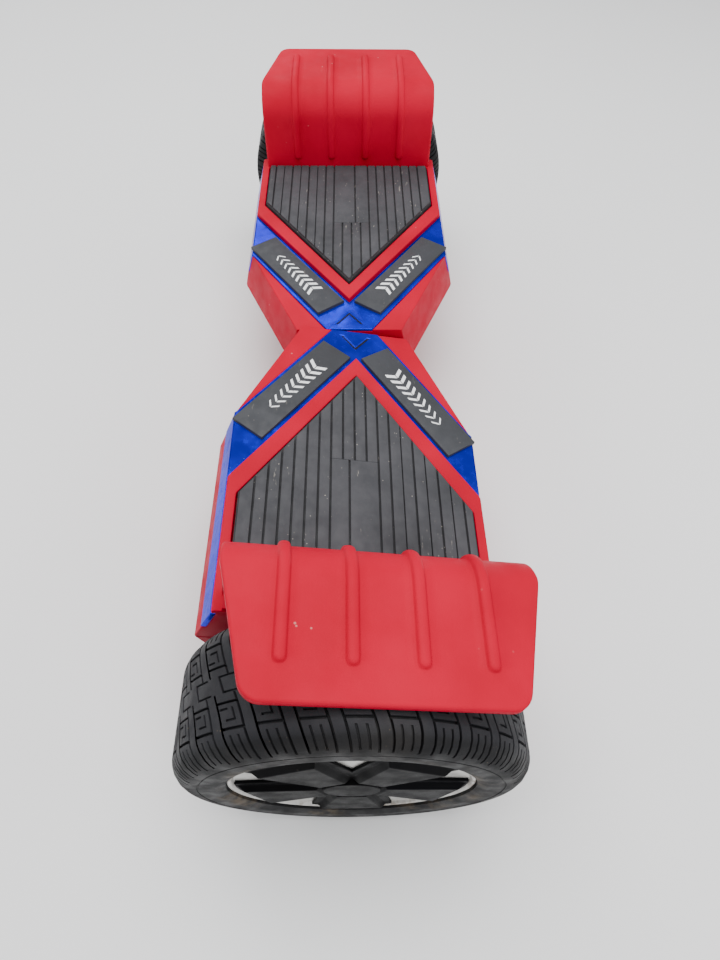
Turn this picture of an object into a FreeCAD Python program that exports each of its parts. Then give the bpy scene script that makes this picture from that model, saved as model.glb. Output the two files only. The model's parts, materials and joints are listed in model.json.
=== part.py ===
"""Self balancing two wheel board: two twisting deck halves on hub motor wheels.

Frame, millimetres: +X runs along the board from the left half to the right half, +Y is the
riding direction and +Z is up. The origin is on the ground, midway between the wheels. Each half
is modelled in its own axes, which the board's frame then carries: x outwards from the middle
along the wheel axle, y across the deck, z up from the axle.
"""
import FreeCAD, Part
import math
import os
import re
import Sketcher
from FreeCAD import Placement, Rotation, Vector

SIZES = {
    # overall
    "shell_end": 268, "tyre_radius": 105, "tyre_width": 76, "wheel_reach": 55.5, "rest_twist": -9.3, "twist_stop": 15,
    # outline of one half: top edge, belt (where the shells meet) and underside
    "half_gap": 1.5, "deck_half": 92, "belt_half": 103, "base_half": 82,
    "waist_half": 45.4, "shoulder_x": 105, "belt_shoulder_x": 110, "base_shoulder_x": 108,
    "shell_top_z": 30, "belt_z": -8, "base_z": -62, "base_set": 6, "belt_gap": 0.3,
    "side_wall": 5.5, "end_wall": 3, "floor_wall": 3, "roof_wall": 6.5,
    # deck border, foot pad and its recess
    "border_z": 34.5, "border_round": 2, "border_tip_x": 37, "border_corner_x": 167,
    "pad_tip_x": 59, "pad_corner_x": 181, "pad_end_set": 18, "pad_half": 83.5, "pad_top_z": 38,
    "pad_thick": 8.5, "pad_gap": 1.2, "pad_travel": 2, "pad_rest_gap": 0.5, "pad_chamfer": 1.5,
    "rib_pitch": 12, "rib_groove": 1.4, "rib_depth": 1.6,
    "plunger_x": 165, "plunger_y": 45, "plunger_radius": 4, "plunger_len": 17, "hole_gap": 1,
    # blue trim and grip strips
    "trim_thick": 2.7, "trim_proud": 0.6, "trim_gap": 0.2, "trim_mid_half": 20, "trim_low_z": 9,
    "chevron_tip_x": 23.8, "chevron_end_x": 7.5, "chevron_half": 13, "chevron_line": 2.2,
    "chevron_depth": 0.8,
    "grip_len": 115, "grip_width": 28, "grip_thick": 3, "grip_from_mid": 59.1,
    # fender
    "fender_set": 16, "fender_half": 86.5, "fender_over": 8, "fender_bend": 28,
    "fender_thick": 3.5, "fender_reach": 21.5, "fender_taper": 20, "fender_out_half": 70,
    "fender_corner": 9, "fender_foot": 12,
    "fender_rib_pitch": 35.5, "fender_rib_radius": 3.4, "fender_rib_set": 22, "rib_low_gap": 6,
    # screws
    "boss_radius": 6.5, "screw_radius": 2, "screw_head_radius": 3.6, "screw_head": 2.4,
    "screw_gap": 0.2, "counterbore": 6, "screw_bite": 18,
    "boss_in_x": 40, "boss_in_y": 40.5, "boss_mid_x": 120, "boss_out_set": 23, "boss_y": 71.5,
    "fender_screw_y": 60, "post_in_x": 110, "post_out_set": 46, "post_y": 44, "post_radius": 5.5,
    "post_bite": 12,
    # twisting joint on the axle line
    "tube_radius": 14, "tube_wall": 3, "bush_wall": 2.95, "bush_gap": 0.05, "housing_wall": 5,
    "housing_x": 14, "housing_len": 40, "stop_len": 8, "stop_pin_radius": 2.5, "stop_gap": 0.5,
    "pin_reach": 5.5, "clip_mouth": 2.5,
    "circlip_thick": 2, "circlip_rise": 4, "groove_deep": 1, "clip_gap": 1,
    "collar_rise": 4, "collar_gap": 0.1, "flange_thick": 2, "arch_gap": 2,
    # cast chassis
    "chassis_top_z": -14, "chassis_thick": 6, "chassis_half": 60, "chassis_neck": 31,
    "chassis_neck_x": 62, "chassis_in_x": 16, "chassis_set": 10, "rail_width": 5,
    "block_set": 32, "block_len": 26, "block_half": 24, "block_top_z": 14, "cap_gap": 0.5,
    "cap_screw_y": 16,
    # hub motor and wheel
    "axle_radius": 7.5, "axle_in_reach": 4, "axle_out_reach": 30.5, "seat_rise": 4.5,
    "bearing_wall": 8.5, "bearing_width": 9, "shaft_gap": 0.05,
    "stator_radius": 50, "stator_width": 30, "stator_core": 34, "tooth_width": 5, "teeth": 18,
    "coil_width": 2.4, "magnet_gap": 0.5, "magnet_thick": 3,
    "can_wall": 10.5, "flange_rise": 9, "rim_in_reach": 31.5, "rim_disc_reach": 26.5,
    "bearing_set": 5, "rim_face_reach": 32, "rim_flange_reach": 29.5, "rim_lip_reach": 34.5,
    "hub_boss_wall": 6,
    "cover_thick": 4, "cover_boss_wall": 6, "cover_screw_set": 6, "cover_screws": 6,
    "tyre_shoulder": 15, "tyre_bead_gap": 0.1,
    "cap_disc_set": 4, "cap_disc_thick": 2, "cap_top_reach": 37.5, "blades": 5,
    "window_tip": 34, "window_half": 17.5, "cap_centre_radius": 17,
    "blade_in": 15, "blade_in_half": 11, "blade_out": 64, "blade_out_half": 23,
    "crest_in": 19, "crest_in_half": 9, "crest_out": 60, "crest_out_half": 19.5,
    "boss_step": 3, "rim_dish": 1.5, "rim_slope": 2, "axle_seat_over": 3, "coil_short": 3.5,
    "bearing_proud": 1, "bearing_back": 0.3, "cover_slope": 4,
    "bead_in": 4, "bead_chamfer": 3, "bead_rise": 2, "seat_fit": 0.02, "flange_fit": 0.3,
    "wall_chamfer": 2, "wall_foot": 6, "wall_foot_in": 3,
    # electrics
    "battery_x": 78, "battery_len": 138, "battery_half": 36, "battery_low_z": -57,
    "battery_high_z": -22, "board_thick": 1.6, "cable_radius": 3.5, "lane_y": 5.2,
    "hole_cable": 8, "gyro_x": 148, "gyro_len": 34, "gyro_half": 52, "switch_gap": 2.4,
    "gyro_rise": 4, "switch_long": 10, "switch_wide": 8, "foot_in": 3, "foot_long": 5,
    "foot_edge": 7, "chip_x": 12, "chip_size": 10, "chip_high": 3.2, "sleeve_round": 6,
    "strap_width": 24, "strap_thick": 1.5, "strap_foot": 10, "strap_gap": 0.2, "strap_drop": 0.1,
    "board_rise": 8, "sink_x": 20, "sink_len": 70, "sink_deep": 14, "sink_high": 16,
    "can_x": 30, "can_pitch": 18, "can_radius": 7, "can_high": 24,
    "board_foot": 6, "board_foot_in": 4, "board_foot_edge": 2, "bend_drop": 12,
    "straight_run": 60, "bend_run": 110, "side_run": 20,
    # charge port and power button in a niche of the left half
    "niche_x": 180, "niche_len": 60, "niche_low_z": -42, "niche_high_z": -11, "niche_y": 86,
    "niche_wall": 4, "port_x": 197, "port_z": -28, "port_radius": 9, "port_bore": 5.5,
    "port_bore_len": 10, "port_fit": 0.05, "niche_step": 1.5, "flap_gap": 0.1,
    "port_flange": 10.5, "port_flange_thick": 1.5, "port_len": 18,
    "cap_pin_radius": 1.2, "cap_pin_rise": 14, "cap_thick": 2, "cap_ear": 3,
    "button_x": 226, "button_radius": 6, "button_travel": 1.5, "button_proud": 3.5,
    "button_flange": 8, "button_gap": 0.3, "button_collar": 2, "button_clear": 0.2,
    "switch_block": 12, "ear_gap": 0.3, "ear_short": 0.9, "pin_set": 0.2, "flap_lap": 3,
    # overlaps: what a joined solid runs into its neighbour, and what a cut runs past a face
    "weld": 0.5, "over": 1,
}

# Places and radii that follow from the sizes, so that what fits together moves together.
FOLLOWS = {
    # along x, outwards from the deck's end and from the wheel's middle
    "base_end": "shell_end - base_set", "pad_end_x": "shell_end - pad_end_set",
    "boss_out_x": "shell_end - boss_out_set", "post_out_x": "shell_end - post_out_set",
    "chassis_end": "shell_end - chassis_set", "block_x": "shell_end - block_set",
    "fender_x": "shell_end - fender_set", "fender_taper_x": "fender_x + fender_taper",
    "wheel_x": "shell_end + wheel_reach", "fender_out_x": "wheel_x + fender_reach",
    "fender_rib_out_x": "fender_out_x - fender_rib_set", "axle_in_x": "block_x - axle_in_reach",
    "axle_out_x": "wheel_x + axle_out_reach", "rim_in_x": "wheel_x - rim_in_reach",
    "rim_disc_x": "wheel_x + rim_disc_reach", "bearing_out_x": "rim_disc_x - bearing_set",
    "rim_face_x": "wheel_x + rim_face_reach", "rim_flange_x": "wheel_x + rim_flange_reach",
    "rim_lip_x": "wheel_x + rim_lip_reach", "cap_top_x": "wheel_x + cap_top_reach",
    # over the tyre, round the tube and round the axle
    "fender_top_z": "tyre_radius + fender_over",
    "tube_bore": "tube_radius - tube_wall", "bush_radius": "tube_radius + bush_gap + bush_wall",
    "housing_radius": "bush_radius + housing_wall", "circlip_radius": "tube_radius + circlip_rise",
    "circlip_groove": "tube_radius - groove_deep", "collar_radius": "tube_radius + collar_rise",
    "axle_seat_radius": "axle_radius + seat_rise", "bearing_radius": "axle_radius + bearing_wall",
    "hub_boss_radius": "bearing_radius + hub_boss_wall",
    "cover_boss_radius": "bearing_radius + cover_boss_wall",
    "rim_seat_radius": "stator_radius + magnet_gap + magnet_thick + can_wall",
    "rim_flange_radius": "rim_seat_radius + flange_rise",
    "cover_screw_radius": "rim_seat_radius - cover_screw_set",
    "cap_disc_radius": "rim_flange_radius - cap_disc_set",
}

doc = FreeCAD.newDocument("balance_board")
sheet = doc.addObject("Spreadsheet::Sheet", "Sizes")
rows = {alias: str(value) for alias, value in SIZES.items()}
rows.update({alias: "=" + formula for alias, formula in FOLLOWS.items()})
for row, (alias, content) in enumerate(rows.items(), start=1):
    sheet.set("A%d" % row, alias)
    sheet.setAlias("B%d" % row, alias)
    sheet.set("B%d" % row, content)
doc.recompute()

ALIAS = re.compile(r"[a-z][a-z_]*[a-z]")
PARTS = {}


def bound(text):
    """The expression with each size's name pointing at its cell in the sheet."""
    return ALIAS.sub(lambda m: "Sizes." + m.group() if m.group() in rows else m.group(), str(text))


def val(text):
    """What an expression over the sizes comes to, as a number."""
    return float(sheet.evalExpression(bound(text)))


# Widths and places that several pieces share, as expressions over the sizes.
SLOPE = "((deck_half - waist_half) / (shoulder_x - half_gap))"
BELT_WAIST = "(belt_half - %s * (belt_shoulder_x - half_gap))" % SLOPE
BASE_WAIST = "(base_half - %s * (base_shoulder_x - half_gap))" % SLOPE
LEAN = "sqrt(1 + %s ^ 2)" % SLOPE
FLOOR_TOP = "(pad_top_z - pad_thick - pad_travel - pad_rest_gap)"
TRIM_TOP = "(shell_top_z + trim_proud)"
TRIM_SEAT = "trim_thick - trim_proud"
PAD_LOW = "(pad_top_z - pad_thick)"
CAVITY_TOP = "(shell_top_z - roof_wall)"
FLOOR_IN = "(base_z + floor_wall)"
CHASSIS_LOW = "(chassis_top_z - chassis_thick)"
HOUSING_END = "(housing_x + housing_len)"
FOOT_X = "(fender_x + fender_thick + fender_foot / 2 - 1)"
FOOT_SCREWS = ["-fender_screw_y", "0", "fender_screw_y"]
CABLE_HOLE = "(battery_x + hole_cable - 2 * over)"
CABLE_END = "-(%s + stop_len + 26)" % HOUSING_END
MOTOR_HOLE = "(block_x - hole_cable * 3.2)"
BOARD_LOW = "(battery_low_z + board_rise)"
STOP_X = "(%s + stop_len / 2 + 0.5)" % HOUSING_END
CLIP_X = "(%s + stop_len + clip_gap)" % HOUSING_END
HUB_ARCH = "(collar_radius + arch_gap)"
PIN_Y = "niche_y + port_flange_thick + cap_thick - pin_set"
STATOR_X = ("wheel_x - stator_width / 2", "wheel_x + stator_width / 2")
POST_PLACES = [("post_in_x", "post_y"), ("post_out_x", "post_y")]
CAP_PLACES = [("block_x + block_len / 4", "cap_screw_y"), ("block_x + block_len * 3 / 4", "cap_screw_y")]
SCREW_PLACES = [("boss_in_x", "boss_in_y"), ("boss_mid_x", "boss_y"), ("boss_out_x", "boss_y")]


class Piece:
    """A PartDesign body whose sketches and features take their sizes from the sheet."""

    def __init__(self, name):
        self.name = name
        self.body = doc.addObject("PartDesign::Body", name)
        self.body.Label = name
        self.body.AllowCompound = True
        self.count = 0

    def origin(self, role):
        """One of the body's own origin planes or axes."""
        return next(f for f in self.body.Origin.OriginFeatures if f.Role == role)

    def label(self, kind):
        """A new object name within this piece."""
        self.count += 1
        return "%s_%s%d" % (self.name, kind, self.count)

    def sketch(self, plane, offset, *outlines):
        """A sketch on an origin plane, moved along its normal. An outline is a list of corners,
        or (x, y, radius) for a circle. A corner is (x, y), or (x, y, radius, side) where an arc
        runs from it to the next corner with its centre on that side, 1 for left."""
        sk = self.body.newObject("Sketcher::SketchObject", self.label("sketch"))
        sk.AttachmentSupport = [(self.origin(plane), "")]
        sk.MapMode = "FlatFace"
        sk.setExpression("AttachmentOffset.Base.z", bound(offset))
        for outline in outlines:
            if isinstance(outline, tuple):
                self.add_circle(sk, outline)
            else:
                self.add_outline(sk, outline)
        return sk

    @staticmethod
    def fix(sk, kind, targets, expression):
        """A constraint on the sketch that is bound to an expression over the sizes."""
        index = sk.addConstraint(Sketcher.Constraint(kind, *targets, val(expression)))
        sk.setExpression("Constraints[%d]" % index, bound(expression))

    def add_circle(self, sk, circle):
        """A circle (x, y, radius), fixed to the sketch's origin."""
        x, y, radius = circle
        geo = sk.addGeometry(Part.Circle(Vector(val(x), val(y), 0), Vector(0, 0, 1), val(radius)))
        self.fix(sk, "DistanceX", (-1, 1, geo, 3), x)
        self.fix(sk, "DistanceY", (-1, 1, geo, 3), y)
        self.fix(sk, "Radius", (geo,), radius)

    def add_outline(self, sk, corners):
        """A closed outline of lines and arcs, each corner fixed to the sketch's origin."""
        spots = [Vector(val(c[0]), val(c[1]), 0) for c in corners]
        edges = []
        for i, corner in enumerate(corners):
            a, b = spots[i], spots[(i + 1) % len(spots)]
            if len(corner) == 2:
                edges.append((sk.addGeometry(Part.LineSegment(a, b)), 1, 2))
                continue
            radius, side = val(corner[2]), corner[3]
            along = b - a
            left = Vector(-along.y, along.x, 0).normalize()
            rise = math.sqrt(max(radius ** 2 - (along.Length / 2) ** 2, 0))
            centre = (a + b) / 2 + left * rise * side
            start, end = (a, b) if side > 0 else (b, a)
            first = math.atan2(start.y - centre.y, start.x - centre.x)
            last = math.atan2(end.y - centre.y, end.x - centre.x)
            ring = Part.Circle(centre, Vector(0, 0, 1), radius)
            geo = sk.addGeometry(Part.ArcOfCircle(ring, first, last))
            self.fix(sk, "Radius", (geo,), corner[2])
            edges.append((geo, 1, 2) if side > 0 else (geo, 2, 1))
        for i, corner in enumerate(corners):
            geo, start, _ = edges[i]
            before, _, end = edges[i - 1]
            sk.addConstraint(Sketcher.Constraint("Coincident", before, end, geo, start))
            self.fix(sk, "DistanceX", (-1, 1, geo, start), corner[0])
            self.fix(sk, "DistanceY", (-1, 1, geo, start), corner[1])

    def feature(self, kind, sk, **numbers):
        """A PartDesign feature on a sketch; each number is bound to its expression."""
        f = self.body.newObject("PartDesign::" + kind, self.label(kind.lower()))
        f.Profile = sk
        for name, expression in numbers.items():
            f.setExpression(name, bound(expression))
        self.body.Tip = f
        return f

    def pad(self, sk, length, back=False):
        """Material from the sketch along its normal, or against it."""
        f = self.feature("Pad", sk, Length=length)
        f.Reversed = back
        return f

    def pocket(self, sk, length, back=False):
        """A cut from the sketch against its normal, or along it."""
        f = self.feature("Pocket", sk, Length=length)
        f.Reversed = back
        return f

    def turn(self, corners):
        """Material turned about the x axis from an outline of (x, radius) corners."""
        sk = self.sketch("XZ_Plane", "0", corners)
        f = self.feature("Revolution", sk)
        f.ReferenceAxis = (sk, ["H_Axis"])
        f.Angle = 360
        return f

    def loft(self, first, second, cut=False):
        """Straight sided material or a cut between two sketches."""
        f = self.feature("SubtractiveLoft" if cut else "AdditiveLoft", first)
        f.Sections = [second]
        f.Ruled = True
        return f

    def block(self, x, y, z, cut=False):
        """A box between (low, high) expressions, as material or as a cut."""
        sk = self.sketch("XY_Plane", z[0], box_outline(x, y))
        length = "%s - (%s)" % (z[1], z[0])
        return self.pocket(sk, length, back=True) if cut else self.pad(sk, length)

    def pattern(self, feature, kind, **settings):
        """A polar, linear or mirror pattern of one feature."""
        f = self.body.newObject("PartDesign::" + kind, self.label(kind.lower()))
        f.Originals = [feature]
        for name, value in settings.items():
            if isinstance(value, str):
                f.setExpression(name, bound(value))
            else:
                setattr(f, name, value)
        self.body.Tip = f
        return f

    def around(self, feature, number):
        """Copies of a feature evenly spaced about the x axis."""
        return self.pattern(feature, "PolarPattern", Axis=(self.origin("X_Axis"), [""]), Angle=360.0,
                            Occurrences=number)

    def both_sides(self, feature):
        """The feature and its mirror image across the deck's middle."""
        return self.pattern(feature, "Mirrored", MirrorPlane=(self.origin("XZ_Plane"), [""]))

    def dress(self, kind, size, chosen):
        """A fillet or chamfer on the edges of the piece so far that chosen picks."""
        doc.recompute()
        base = self.body.Tip
        names = ["Edge%d" % (i + 1) for i, e in enumerate(base.Shape.Edges) if chosen(e)]
        if not names:
            raise ValueError("%s: no edge for the %s" % (self.name, kind.lower()))
        f = self.body.newObject("PartDesign::" + kind, self.label(kind.lower()))
        f.Base = (base, names)
        f.setExpression("Radius" if kind == "Fillet" else "Size", bound(size))
        self.body.Tip = f
        return f


def box_outline(x, y):
    """Corners of the rectangle between (low, high) expressions."""
    return [(x[0], y[0]), (x[1], y[0]), (x[1], y[1]), (x[0], y[1])]


def mirrored(corners):
    """The outline of corners on +y, given from the inner end outwards, with its mirror image."""
    return [(x, y) for x, y in corners] + [(x, "-(%s)" % y) for x, y in reversed(corners)]


def vertical(edge, x, tol=0.3):
    """Whether an edge stands along z at x."""
    if len(edge.Vertexes) != 2:
        return False
    a, b = edge.Vertexes[0].Point, edge.Vertexes[1].Point
    upright = abs(a.x - b.x) < tol and abs(a.y - b.y) < tol and abs(a.z - b.z) > tol
    return upright and abs(a.x - val(x)) < tol


def flat_at(edge, z, tol=0.05):
    """Whether a whole edge lies at height z."""
    return all(abs(v.Point.z - val(z)) < tol for v in edge.Vertexes) and len(edge.Vertexes) == 2


def on_side(edge, y, tol=0.1):
    """Whether the middle of an edge lies at a distance y from the deck's middle line."""
    middle = edge.valueAt((edge.FirstParameter + edge.LastParameter) / 2)
    return abs(abs(middle.y) - val(y)) < tol


# ------------------------------------------------------------------ shells and what they carry
def outline(level, inset="0"):
    """One half's outline at the top edge, the belt or the base, drawn in by a wall."""
    half, waist, shoulder, end = {
        "top": ("deck_half", "waist_half", "shoulder_x", "shell_end"),
        "belt": ("belt_half", BELT_WAIST, "belt_shoulder_x", "shell_end"),
        "base": ("base_half", BASE_WAIST, "base_shoulder_x", "base_end"),
    }[level]
    if inset == "0":
        return mirrored([("half_gap", waist), (shoulder, half), (end, half)])
    return mirrored([
        ("half_gap + end_wall", "%s + %s * end_wall - %s * %s" % (waist, SLOPE, inset, LEAN)),
        ("%s + %s * (%s - 1) / %s" % (shoulder, inset, LEAN, SLOPE), "%s - %s" % (half, inset)),
        ("%s - end_wall" % end, "%s - %s" % (half, inset)),
    ])


def pad_outline(gap="0"):
    """The foot pad's five sided outline, grown by a gap."""
    reach = "(pad_corner_x - pad_tip_x)"
    slant = "(sqrt(%s ^ 2 + pad_half ^ 2) / pad_half)" % reach
    tip = "pad_tip_x - (%s) * %s" % (gap, slant)
    corner = "pad_corner_x - (%s) * (%s - %s / pad_half)" % (gap, slant, reach)
    half = "pad_half + %s" % gap
    end = "pad_end_x + %s" % gap
    return [(tip, "0"), (corner, "-(%s)" % half), (end, "-(%s)" % half), (end, half), (corner, half)]


def arch(radius, foot):
    """A slot open downwards round the axle line, in (y, z)."""
    return [("-(%s)" % radius, foot), (radius, foot), (radius, "0", radius, 1), ("0", radius, radius, 1),
            ("-(%s)" % radius, "0")]


def side_strip(level_z, face_in, face_out):
    """Corners of a strip on the sloping side wall at one height, in (x, y)."""
    share = "(shell_top_z - (%s)) / (shell_top_z - belt_z)" % level_z
    face = "(deck_half + (belt_half - deck_half) * %s)" % share
    start = "(shoulder_x + (belt_shoulder_x - shoulder_x) * %s)" % share
    return [(start, "%s - %s" % (face, face_in)), ("shell_end", "%s - %s" % (face, face_in)),
            ("shell_end", "%s + %s" % (face, face_out)), (start, "%s + %s" % (face, face_out))]


def band(gap="0"):
    """The V shaped band of the trim, both arms, in (x, y)."""
    tip = "border_tip_x - (%s) * 1.7" % gap
    return [("half_gap + %s" % gap, "-trim_mid_half + (%s)" % gap),
            ("shoulder_x + (%s)" % gap, "-deck_half"), ("border_corner_x - 2 * (%s)" % gap, "-deck_half"),
            (tip, "0"), ("border_corner_x - 2 * (%s)" % gap, "deck_half"),
            ("shoulder_x + (%s)" % gap, "deck_half"), ("half_gap + %s" % gap, "trim_mid_half - (%s)" % gap)]


def upper_shell(name):
    """The top cover: deck border, waist, sloping sides and the seats for pad and trim."""
    p = Piece(name)
    p.loft(p.sketch("XY_Plane", "belt_z", outline("belt")),
           p.sketch("XY_Plane", "shell_top_z", outline("top")))
    p.pad(p.sketch("XY_Plane", "shell_top_z", mirrored(
        [("border_tip_x", "0"), ("border_corner_x", "deck_half"), ("shell_end", "deck_half")])[:-1]),
        "border_z - shell_top_z")
    p.loft(p.sketch("XY_Plane", "belt_z", outline("belt", "side_wall")),
           p.sketch("XY_Plane", CAVITY_TOP, inner_roof()), cut=True)
    p.pocket(p.sketch("XY_Plane", "border_z", pad_outline("pad_gap")), "border_z - %s" % FLOOR_TOP)
    p.pocket(p.sketch("XY_Plane", "shell_top_z + 0.1", band("0")), "trim_thick + 0.1 - trim_proud")
    low, top = "trim_low_z - trim_gap", "shell_top_z"
    cut = p.loft(p.sketch("XY_Plane", low, side_strip(low, TRIM_SEAT, "2 * over")),
                 p.sketch("XY_Plane", top, side_strip(top, TRIM_SEAT, "2 * over")), cut=True)
    p.both_sides(cut)
    bosses = p.pad(p.sketch("XY_Plane", "belt_z", *[(x, y, "boss_radius") for x, y in SCREW_PLACES]),
                   "%s + weld - belt_z" % CAVITY_TOP)
    p.both_sides(bosses)
    holes = p.pocket(p.sketch("XY_Plane", "belt_z", *[(x, y, "screw_radius") for x, y in SCREW_PLACES]),
                     "screw_bite", back=True)
    p.both_sides(holes)
    posts = p.pad(p.sketch("XY_Plane", "chassis_top_z", *[(x, y, "post_radius") for x, y in POST_PLACES]),
                  "%s + weld - chassis_top_z" % CAVITY_TOP)
    p.both_sides(posts)
    holes = p.pocket(p.sketch("XY_Plane", "chassis_top_z", *[(x, y, "screw_radius") for x, y in POST_PLACES]),
                     "post_bite + 2 * over", back=True)
    p.both_sides(holes)
    plungers = p.pocket(
        p.sketch("XY_Plane", FLOOR_TOP, ("plunger_x", "plunger_y", "plunger_radius + hole_gap")),
        "floor_wall + 2 * over")
    p.both_sides(plungers)
    p.pocket(p.sketch("YZ_Plane", "half_gap - over", arch(HUB_ARCH, "belt_z - over")),
             "end_wall + 2 * over", back=True)
    # Room for the joint's housing where it would reach the roof.
    p.pocket(p.sketch("YZ_Plane", "housing_x", arch("housing_radius + cap_gap", "belt_z - over")),
             "housing_len + stop_len + over", back=True)
    p.pocket(
        p.sketch("YZ_Plane", "shell_end - end_wall - over", arch("axle_radius + arch_gap", "belt_z - over")),
        "end_wall + 2 * over", back=True)
    p.pocket(p.sketch("XY_Plane", "border_z", *[(FOOT_X, y, "screw_radius") for y in FOOT_SCREWS]),
             "screw_head * 4")
    p.dress("Fillet", "border_round", lambda e: flat_at(e, "border_z") and on_side(e, "deck_half"))
    return p.body


def inner_roof():
    """The cavity's outline under the roof, between the belt and the top edge."""
    share = "((%s - belt_z) / (shell_top_z - belt_z))" % CAVITY_TOP
    belt, top = outline("belt", "side_wall"), outline("top", "side_wall")
    return [("(%s) + ((%s) - (%s)) * %s" % (b[0], t[0], b[0], share),
             "(%s) + ((%s) - (%s)) * %s" % (b[1], t[1], b[1], share)) for b, t in zip(belt, top)]


def lower_shell(name, niche):
    """The belly pan. The left one has a niche for the charge port and the power button."""
    p = Piece(name)
    top = "belt_z - belt_gap"
    p.loft(p.sketch("XY_Plane", "base_z", outline("base")), p.sketch("XY_Plane", top, outline("belt")))
    p.loft(p.sketch("XY_Plane", FLOOR_IN, outline("base", "floor_wall + over")),
           p.sketch("XY_Plane", top, outline("belt", "floor_wall + over")), cut=True)
    bosses = p.pad(p.sketch("XY_Plane", "base_z + over", *[(x, y, "boss_radius") for x, y in SCREW_PLACES]),
                   "belt_z - belt_gap - base_z - over")
    p.both_sides(bosses)
    holes = p.pocket(
        p.sketch("XY_Plane", top, *[(x, y, "screw_radius + screw_gap") for x, y in SCREW_PLACES]),
        "belt_z - base_z + over")
    p.both_sides(holes)
    heads = p.pocket(p.sketch("XY_Plane", "base_z", *[
        (x, y, "screw_head_radius + screw_gap") for x, y in SCREW_PLACES]), "counterbore", back=True)
    p.both_sides(heads)
    p.pocket(p.sketch("YZ_Plane", "half_gap - over", ("0", "0", HUB_ARCH)), "end_wall + 2 * over", back=True)
    p.pocket(p.sketch("YZ_Plane", "shell_end - end_wall * 4", ("0", "0", "axle_radius + arch_gap")),
             "end_wall * 5", back=True)
    if niche:
        x = ("niche_x - niche_wall", "niche_x + niche_len + niche_wall")
        z = ("niche_low_z - niche_wall", "niche_high_z + niche_wall - niche_step")
        p.block(x, ("niche_y - niche_wall", "niche_y + 2 * over"), z)
        p.block(("niche_x", "niche_x + niche_len"), ("niche_y", "belt_half + 2 * over"),
                ("niche_low_z", "niche_high_z"), cut=True)
        ears = [box_outline(("port_x + %s" % a, "port_x + %s" % b),
                            ("port_z + cap_pin_rise - cap_ear", "port_z + cap_pin_rise + cap_ear"))
                for a, b in (("cap_ear + ear_gap", "cap_ear * 2"), ("-cap_ear * 2", "-cap_ear - ear_gap"))]
        p.pad(p.sketch("XZ_Plane", "-niche_y", *ears), "port_flange_thick + cap_thick + 2 * over", back=True)
        p.pocket(p.sketch("XZ_Plane", "-(niche_y + 2 * over)",
                          ("port_x", "port_z", "port_radius + port_fit"),
                          ("button_x", "port_z", "button_radius + button_gap")),
                 "niche_wall + 4 * over", back=True)
        p.pocket(p.sketch("YZ_Plane", "port_x - cap_ear * 2 - over",
                          (PIN_Y, "port_z + cap_pin_rise", "cap_pin_radius + shaft_gap")),
                 "cap_ear * 4 + 2 * over", back=True)
    return p.body


def trim(name):
    """The blue V band with its side strips and the fine chevron line."""
    p = Piece(name)
    strip = p.loft(
        p.sketch("XY_Plane", "trim_low_z", side_strip("trim_low_z", TRIM_SEAT, "trim_proud")),
        p.sketch("XY_Plane", "shell_top_z", side_strip("shell_top_z", TRIM_SEAT, "trim_proud")))
    p.both_sides(strip)
    p.pad(p.sketch("XY_Plane", "%s - trim_thick" % TRIM_TOP, band("trim_gap")), "trim_thick")
    tip, end, line = "chevron_tip_x", "chevron_end_x", "chevron_line"
    p.pocket(p.sketch("XY_Plane", TRIM_TOP, [
        (tip, "0"), (end, "chevron_half"), (end, "chevron_half - %s * 1.3" % line),
        ("%s - %s * 1.6" % (tip, line), "0"), (end, "-chevron_half + %s * 1.3" % line),
        (end, "-chevron_half")]), "chevron_depth")
    return p.body


def grip(name, side):
    """A flat rubber grip strip glued along one arm of the trim."""
    p = Piece(name)
    run = "sqrt(deck_half ^ 2 + (border_corner_x - border_tip_x) ^ 2)"
    ux, uy = "((border_corner_x - border_tip_x) / %s)" % run, "(deck_half / %s)" % run
    deep = "((border_tip_x - half_gap) * %s + trim_mid_half * %s) / 2" % (uy, ux)
    cx = "border_tip_x - (%s) * %s + grip_from_mid * %s" % (deep, uy, ux)
    cy = "(%s) * %s + grip_from_mid * %s" % (deep, ux, uy)
    corners = []
    for a, b in ((-0.5, -0.5), (0.5, -0.5), (0.5, 0.5), (-0.5, 0.5)):
        corners.append(("%s + %s * grip_len * %s - (%s) * grip_width * %s" % (cx, a, ux, b, uy),
                        "%d * (%s + %s * grip_len * %s + (%s) * grip_width * %s)" % (side, cy, a, uy, b, ux)))
    p.pad(p.sketch("XY_Plane", TRIM_TOP, corners), "grip_thick")
    p.dress("Chamfer", "0.6", lambda e: flat_at(e, TRIM_TOP + " + grip_thick"))
    return p.body


def foot_pad(name):
    """The rubber foot pad with its lengthwise grooves, and a plunger over each switch."""
    p = Piece(name)
    p.pad(p.sketch("XY_Plane", PAD_LOW, pad_outline()), "pad_thick")
    p.dress("Chamfer", "pad_chamfer", lambda e: flat_at(e, "pad_top_z"))
    for n in range(-6, 7):
        y = "%d * rib_pitch" % n
        start = "pad_tip_x + (pad_corner_x - pad_tip_x) * (%d * rib_pitch) / pad_half + 9" % abs(n)
        p.block((start, "pad_end_x - 3"), ("%s - rib_groove / 2" % y, "%s + rib_groove / 2" % y),
                ("pad_top_z - rib_depth", "pad_top_z + over"), cut=True)
    plungers = p.pad(p.sketch("XY_Plane", "%s + weld" % PAD_LOW, ("plunger_x", "plunger_y", "plunger_radius")),
                     "plunger_len + weld", back=True)
    p.both_sides(plungers)
    return p.body


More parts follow.
